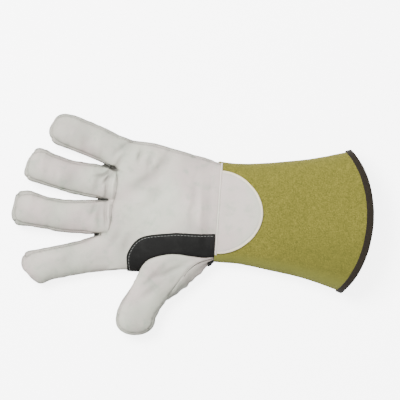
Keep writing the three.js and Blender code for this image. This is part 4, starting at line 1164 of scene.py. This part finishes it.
def tabGrid():
    x = np.linspace(tabLook["start"], tabLook["end"], 24)[:, None]
    turn = np.radians(np.linspace(78, -82, 22))[None]
    y = tabLook["outY"] + tabLook["slope"] * (x - tabLook["start"])
    y = y + tabLook["over"] * (1 - np.cos(turn) ** 0.8)
    z = trunkAt(x)["mid"] + np.where(turn > 0, tabLook["up"], tabLook["down"]) * np.sin(turn)
    grid = xyz(x, y, z)
    grid = grid + gridNormals(grid) * 0.25 * noise(grid, 3.5, 74)[..., None]
    for _ in range(5):
        grid[1:-1] = (grid[:-2] + 2 * grid[1:-1] + grid[2:]) / 4
        grid[:, 1:-1] = (grid[:, :-2] + 2 * grid[:, 1:-1] + grid[:, 2:]) / 4
        which = nearest(grid.reshape(-1, 3), points)[1].reshape(grid.shape[:2])
        out = ((grid - points[which]) * normals[which]).sum(-1)
        grid = grid + normals[which] * 0.6 * np.clip(tabLook["above"] - out, -0.9, 3)[..., None]
    return np.maximum(grid, [-999, -999, 0.9])


gridPiece("strap_tab", tabGrid(), "black", "black_leather", {"edge": 0}, thick=tabLook["leather"])
print("strap made")

row = np.arange(2, strap.shape[0] - 2, dtype=float)
col = 1 - strapLook["stitchInset"] / width[:, 0]
col = np.interp(row, np.arange(len(col)), col) * (strap.shape[1] - 1)
pathNormal = sampleGrid(strapNormal, row, col)
path = sampleGrid(strap, row, col) + pathNormal * glove["patchLeather"]
stitchLine("strap_stitches", path, pathNormal, "paleThread", "black_leather", length=2.8)


# A point of the cuff: share from the wrist to the hem, turn round it from the outer side
# over the palm side. Its section is a rounded rectangle, the cosine and the sine raised to
# 2 / fullness, and flat where it lies on the floor.
# At the wrist it starts past the welt on the palm side, and under the hand's leather
# elsewhere, where its edge bows towards the fingers. At the hem it curves outwards.
cuffLook = {
    "round": 264, "along": 120, "seamTurn": 233, "lap": 1.5, "lapColumns": (5, 12),
    "lapEnd": (0.9, 0.955), "thumbSide": 1.3, "past": 1.5, "under": 0.5, "cornerX": 27.1,
    "floorGap": 1.6, "shade": 0.36,
}


def cuffPoints(share, turn):
    share, turn = np.broadcast_arrays(np.asarray(share, float), np.asarray(turn, float))
    c, s = np.cos(turn), np.sin(turn)
    power = 2 / glove["trunkFullness"]
    over = np.sign(c) * np.abs(c) ** power
    rise = np.abs(s) ** power
    half = trunkAt(glove["hemX"] - glove["hemCurve"] * glove["hemHalf"] ** 2)["half"]
    end = glove["hemX"] - glove["hemCurve"] * (over * half) ** 2
    inside = glove["palmEnd"] - cuffLook["under"]
    bowed = glove["palmEnd"] - glove["overlap"] - glove["bow"] * smooth(rise, 0.5, 1)
    above = lerp(glove["cuffStart"] - cuffLook["past"], inside, smooth(-s, -0.5, 0))
    above = lerp(above, cuffLook["cornerX"], smooth(np.abs(c), 0.7, 0.84) * (s > 0))
    x = lerp(np.where(s > 0, above, lerp(inside, bowed, smooth(-s, 0, 0.3))), end, share)
    at = trunkAt(x)
    low = np.maximum(cuffLook["floorGap"] * smooth(share, 0.7, 0.95), at["mid"] - at["down"] * rise)
    z = np.where(s > 0, at["mid"] + at["up"] * rise, low)
    return xyz(x, at["centre"] + at["half"] * over, z)


# How far the cuff stands out from its smooth form: noise of three sizes, flutes that run
# out from the wrist and die away, and a bulge along the thumb side.
def cuffRelief(grid, normal):
    x = grid[..., 0]
    out = bumps(grid, (0.75, 38, 31), (0.3, 15, 32), (0.12, 6, 33))
    out += 0.45 * noise(grid * [0.12, 1.0, 1.0], 7, 34) * np.exp(-(x - 30) / 14)
    out = aboveFloor(grid, normal, out, 3) * smooth(x, 26, 40)
    wider = bell(x - 37, 11) + 0.55 * smooth(x, 60, 110) + 0.3 * smooth(x, 130, 175)
    return out + cuffLook["thumbSide"] * smooth(-grid[..., 1], 30, 48) * wider


seamTurn = np.radians(cuffLook["seamTurn"])
columns = np.arange(cuffLook["round"] + 1)
share = (np.arange(cuffLook["along"] + 1) / cuffLook["along"])[:, None]
cuff = cuffPoints(share, seamTurn + 2 * np.pi * columns[None] / cuffLook["round"])
cuffNormal = gridNormals(cuff)
# The first few columns lie inside the last ones, as the lapped edge of the closing seam.
inward = cuffLook["lap"] * (1 - smooth(columns, *cuffLook["lapColumns"]))
inward = inward * (1 - smooth(share, *cuffLook["lapEnd"]))
cuff = cuff + cuffNormal * (cuffRelief(cuff, cuffNormal) - inward)[..., None]
cuffAt = trunkAt(cuff[..., 0])
gridPiece("cuff_suede", cuff, "suede", "suede", {
    # The thumb side edge: greener, and a little lighter as painted light against its shade.
    "edge": smooth((cuffAt["centre"] - cuff[..., 1]) / cuffAt["half"], 0.72, 0.98),
    # Painted shade, darker towards the thumb side and the hem.
    "shade": cuffLook["shade"] * smooth(-cuff[..., 1], 0, 40) * smooth(cuff[..., 0], 60, 140),
}, turned=True, replaced=("cuff",), thick=glove["cuffLeather"])
print("cuff made")


# A line on the cuff's outer face, and the direction square to it: the cross product of
# short steps along the cuff and round it, turned outwards.
def cuffLine(share, turn):
    line = cuffPoints(share, turn)
    rim = cuffPoints(share, turn + 0.02) - cuffPoints(share, turn - 0.02)
    fore = cuffPoints(share + 0.01, turn) - cuffPoints(share - 0.01, turn)
    normal = unit(np.cross(fore, rim))
    outward = line - trunkEdge(line[..., 0], "centre")
    normal *= np.sign((normal * outward).sum(-1, keepdims=True))
    return line + normal * cuffRelief(line, normal)[..., None], normal


# The binding: a tape folded over the hem, a rounded U carried round it. Its profile has
# the share of the way from the tape's inner edge to the hem, the height above the cuff's
# outer face, and how far it stands out beyond the hem.
tapeLook = {"width": 5.6, "above": 0.35, "thickness": 1.0, "beyond": 1.3, "turns": 361}


# Each point is on the straight way from the tape's inner edge to the hem, moved out along
# the cuff's normal and beyond the hem by what its profile says.
def bindingGrid():
    turns = np.linspace(0, 2 * np.pi, tapeLook["turns"])
    start = 1 - tapeLook["width"] / (glove["hemX"] - glove["cuffStart"])
    edge, normal = cuffLine(np.ones_like(turns), turns)
    inner, innerNormal = cuffLine(np.full_like(turns, start), turns)
    way = unit(edge - inner)
    out = tapeLook["above"] + tapeLook["thickness"]
    deep = -glove["cuffLeather"] - out
    centre, radius = (out + deep) / 2, (out - deep) / 2
    profile = [(0, 0.25, 0), (0, out - 0.3, 0), (0.06, out - 0.05, 0)]
    profile += [(share, out, 0) for share in (0.12, 0.35, 0.6, 0.85)]
    profile += [(1, centre + radius * np.sin(a), tapeLook["beyond"] * np.cos(a))
                for a in np.linspace(np.pi / 2, -np.pi / 2, 11)]
    profile += [(share, deep, 0) for share in (0.85, 0.6, 0.35, 0.12)]
    profile += [(0, deep + 0.3, 0), (0, -glove["cuffLeather"] - 0.1, 0)]
    return np.stack([lerp(inner, edge, share) + lerp(innerNormal, normal, share) * height
                     + way * beyond for share, height, beyond in profile])


binding = bindingGrid()
along = pathLength(binding[4])
ripple = bumps(binding, (0.12, 4.0, 41), (0.1, 9.0, 42))
binding = binding + unit(binding - binding.mean(0, keepdims=True)) * ripple[..., None]
binding[..., 2] = np.maximum(binding[..., 2], glove["lowest"])
gridPiece("hem_binding", np.concatenate([binding, binding[:1]]), "tape", "binding",
          {"along": along}, closed=True, replaced=("cuff_binding",))
print("binding made")


# The half-moon patch on the cuff against the welt, with its pale cut edge, painted lighter
# also as a highlight along that edge.
moonLook = {
    "x": 29.5, "y": 1, "reach": 43.0, "halfWidth": 40.8, "across": 90, "along": 45,
    "above": 0.5, "fullness": 1.88, "stitchInset": 2.4, "rolled": 0.35, "sunk": 0.3,
    "threadSunk": 0.35,
}


# The top of the cuff above a point of the plan, and the direction square to it, which is
# (-dz/dx, -dz/dy, 1) made 1 long.
def cuffTop(x, y):
    at = trunkAt(x)
    rise = dome((y - at["centre"]) / at["half"], glove["trunkFullness"])
    return xyz(x, y, at["mid"] + at["up"] * rise)


def cuffTopNormal(x, y):
    slopeX = cuffTop(x + 0.5, y)[..., 2] - cuffTop(x - 0.5, y)[..., 2]
    slopeY = cuffTop(x, y + 0.5)[..., 2] - cuffTop(x, y - 0.5)[..., 2]
    return unit(np.stack([-slopeX, -slopeY, np.ones_like(slopeX)], -1))


# A point of the half-moon's plan, from its place on a half disc: the place is moved out
# to a rounded square of the patch's fullness, then stretched to its reach and width.
def moonSpot(over, out):
    size = np.maximum(1e-9, np.hypot(over, out))
    full = moonLook["fullness"]
    fit = (np.abs(over / size) ** full + np.abs(out / size) ** full) ** (-1 / full)
    x = moonLook["x"] + moonLook["reach"] * out * fit
    return x, moonLook["y"] + moonLook["halfWidth"] * over * fit


t = 1 - 2 * np.arange(moonLook["across"] + 1)[None] / moonLook["across"]
v = np.arange(moonLook["along"] + 1)[:, None] / moonLook["along"]
over, out = halfDisc(t, v)
spot = moonSpot(over, out)
moon, moonNormal = cuffTop(*spot), cuffTopNormal(*spot)
moonGap = (1 - np.hypot(over, out)) * moonLook["reach"]
seamGap = moonGap - moonLook["stitchInset"]
# The patch rolls down at its edge and is drawn in along its line of stitches.
rise = cuffRelief(moon, moonNormal) + moonLook["above"] - 0.1 * noise(moon, 7, 51)
rise -= moonLook["rolled"] * bell(moonGap, 0.7) + moonLook["sunk"] * bell(seamGap, 0.7)
# Along its sunk stitches it is painted darker, as soil and painted shade in the groove.
gridPiece("half_moon", moon + moonNormal * rise[..., None], "grain", "grain_leather", {
    "seam": 0.6 * bell(seamGap, 0.6), "rim": 0.8 * (1 - smooth(moonGap, 1.2, 1.9)),
    "pink": 0.8 * smooth(moonGap, 2, 12), "deep": 0.1,
}, turned=True, replaced=("wrist_patch",), thick=glove["patchLeather"], outward=1)
arc = np.radians(np.linspace(4, 176, 200))
share = 1 - moonLook["stitchInset"] / moonLook["reach"]
spot = moonSpot(share * np.cos(arc), share * np.sin(arc))
path, pathNormal = cuffTop(*spot), cuffTopNormal(*spot)
rise = cuffRelief(path, pathNormal) + moonLook["above"] - moonLook["threadSunk"]
rise += glove["patchLeather"]
stitchLine("half_moon_stitches", path + pathNormal * rise[:, None], pathNormal, "creamThread",
           "grain_leather", pitch=3.0, length=2.3, radius=0.2, lift=0.1)
print("patch made")


# The welt: a narrow cord of leather in the wrist seam, a ring carried over the palm side.
weltLook = {"radius": 1.25, "steps": 240, "sides": 14, "from": 0.3, "to": 0.58}


# The upper edge of the trunk's section between palm and cuff: a rounded rectangle, with
# the cosine and the sine raised to 2 / fullness.
def weltLine(turn):
    x, power = (glove["palmEnd"] + glove["cuffStart"]) / 2, 2 / glove["trunkFullness"]
    at = trunkAt(x)
    over = np.sign(np.cos(turn)) * np.abs(np.cos(turn)) ** power
    return xyz(x, at["centre"] + at["half"] * over, at["mid"] + at["up"] * np.sin(turn) ** power)


# A circle carried along that line. Its radius varies a little, and its ends are round.
def weltGrid():
    turn = np.linspace(weltLook["from"], np.pi - weltLook["to"], weltLook["steps"])
    centre = weltLine(turn)
    side = np.array([1.0, 0, 0])
    up = np.cross(side, unit(weltLine(turn + 0.01) - weltLine(turn - 0.01)))
    up *= np.sign(up[:, 2:])
    radius = weltLook["radius"] * (1 + bumps(centre, (0.07, 3.0, 61), (0.06, 8.0, 62)))
    fromEnd = np.minimum(np.arange(len(turn)), np.arange(len(turn))[::-1])
    radius = radius * np.minimum(1, fromEnd / 4 + 0.05) ** 0.5
    angle = np.linspace(0, 2 * np.pi, weltLook["sides"] + 1)
    ring = side * np.cos(angle)[None, :, None] + up[:, None] * np.sin(angle)[None, :, None]
    return centre[:, None] + ring * radius[:, None, None]


gridPiece("welt", weltGrid(), "grain", "grain_leather", {"seam": 0}, closed=True,
          replaced=("wrist_welt",))

# Stitching of the cuff: two lines along the lapped seam, and one along the wrist edge on
# the back.
cuffStitches = {
    "lap_stitches_0": (np.linspace(0.02, 0.96, 200), seamTurn - 0.045, "darkThread"),
    "lap_stitches_1": (np.linspace(0.02, 0.96, 200), seamTurn - 0.105, "darkThread"),
    "wrist_stitches": (0.02, np.radians(np.linspace(196, 344, 200)), "creamThread"),
}
for name, (share, turn, material) in cuffStitches.items():
    path, pathNormal = cuffLine(*np.broadcast_arrays(share, turn))
    stitchLine(name, path, pathNormal, material, "suede", lift=0.06)
print("stitching made")

# The floor, the light and the camera. These lengths are in metres, but for the centre.
view = {"centre": (6.8, 31.1), "roll": 3.9, "distance": 2.2, "width": 0.4, "level": 0.014}
studio = {"ambient": 0.5, "backdrop": 5.0, "floorGlow": 5.0, "floor": 0.7, "reach": 4,
          "floorLevel": -0.0002}
lights = {
    "key": {"place": (-0.6, 0.45, 1.25), "size": 0.6, "power": 62},
    "top": {"place": (-0.2, 0.3, 2.0), "size": 1.8, "power": 40},
}
floorMesh = bpy.data.meshes.new("floor")
corners = [(x * studio["reach"], y * studio["reach"], studio["floorLevel"])
           for x, y in ((-1, -1), (1, -1), (1, 1), (-1, 1))]
floorMesh.from_pydata(corners, [], [(0, 1, 2, 3)])
floor = addObject("floor", floorMesh)
floorMaterial = bpy.data.materials.new("paleFloor")
floorMaterial.use_nodes = True
nodes = Tree(floorMaterial.node_tree)
shader = nodes.tree.nodes["Principled BSDF"].inputs
shader["Base Color"].default_value = (*(studio["floor"],) * 3, 1)
shader["Roughness"].default_value = 0.9
shader["Emission Color"].default_value = (1, 1, 1, 1)
seen = nodes.add("LightPath")["Is Camera Ray"]
nodes.put(shader["Emission Strength"], nodes.times(seen, studio["floorGlow"]))
floorMesh.materials.append(floorMaterial)

world = bpy.data.worlds.new("studio")
bpy.context.scene.world = world
world.use_nodes = True
nodes = Tree(world.node_tree)
backdrop = nodes.tree.nodes["Background"].inputs
backdrop[0].default_value = (1, 1, 1, 1)
seen = nodes.add("LightPath")["Is Camera Ray"]
nodes.put(backdrop[1], nodes.stretch(seen, 0.0, 1.0, studio["ambient"], studio["backdrop"]))

for name, look in lights.items():
    data = bpy.data.lights.new(name, "AREA")
    data.size, data.energy = look["size"], look["power"]
    lamp = addObject(name, data)
    lamp.location = look["place"]
    lamp.rotation_euler = (-Vector(look["place"])).to_track_quat("-Z", "Y").to_euler()

cameraData = bpy.data.cameras.new("camera")
camera = addObject("camera", cameraData)
bpy.context.scene.camera = camera
cameraData.sensor_fit = "HORIZONTAL"
cameraData.lens = cameraData.sensor_width * view["distance"] / view["width"]
x, y = (value / 1000 for value in view["centre"])
spot = Matrix.Translation((x, y, view["level"] + view["distance"]))
camera.matrix_world = spot @ Matrix.Rotation(np.radians(view["roll"]), 4, "Z")
print("stage made")
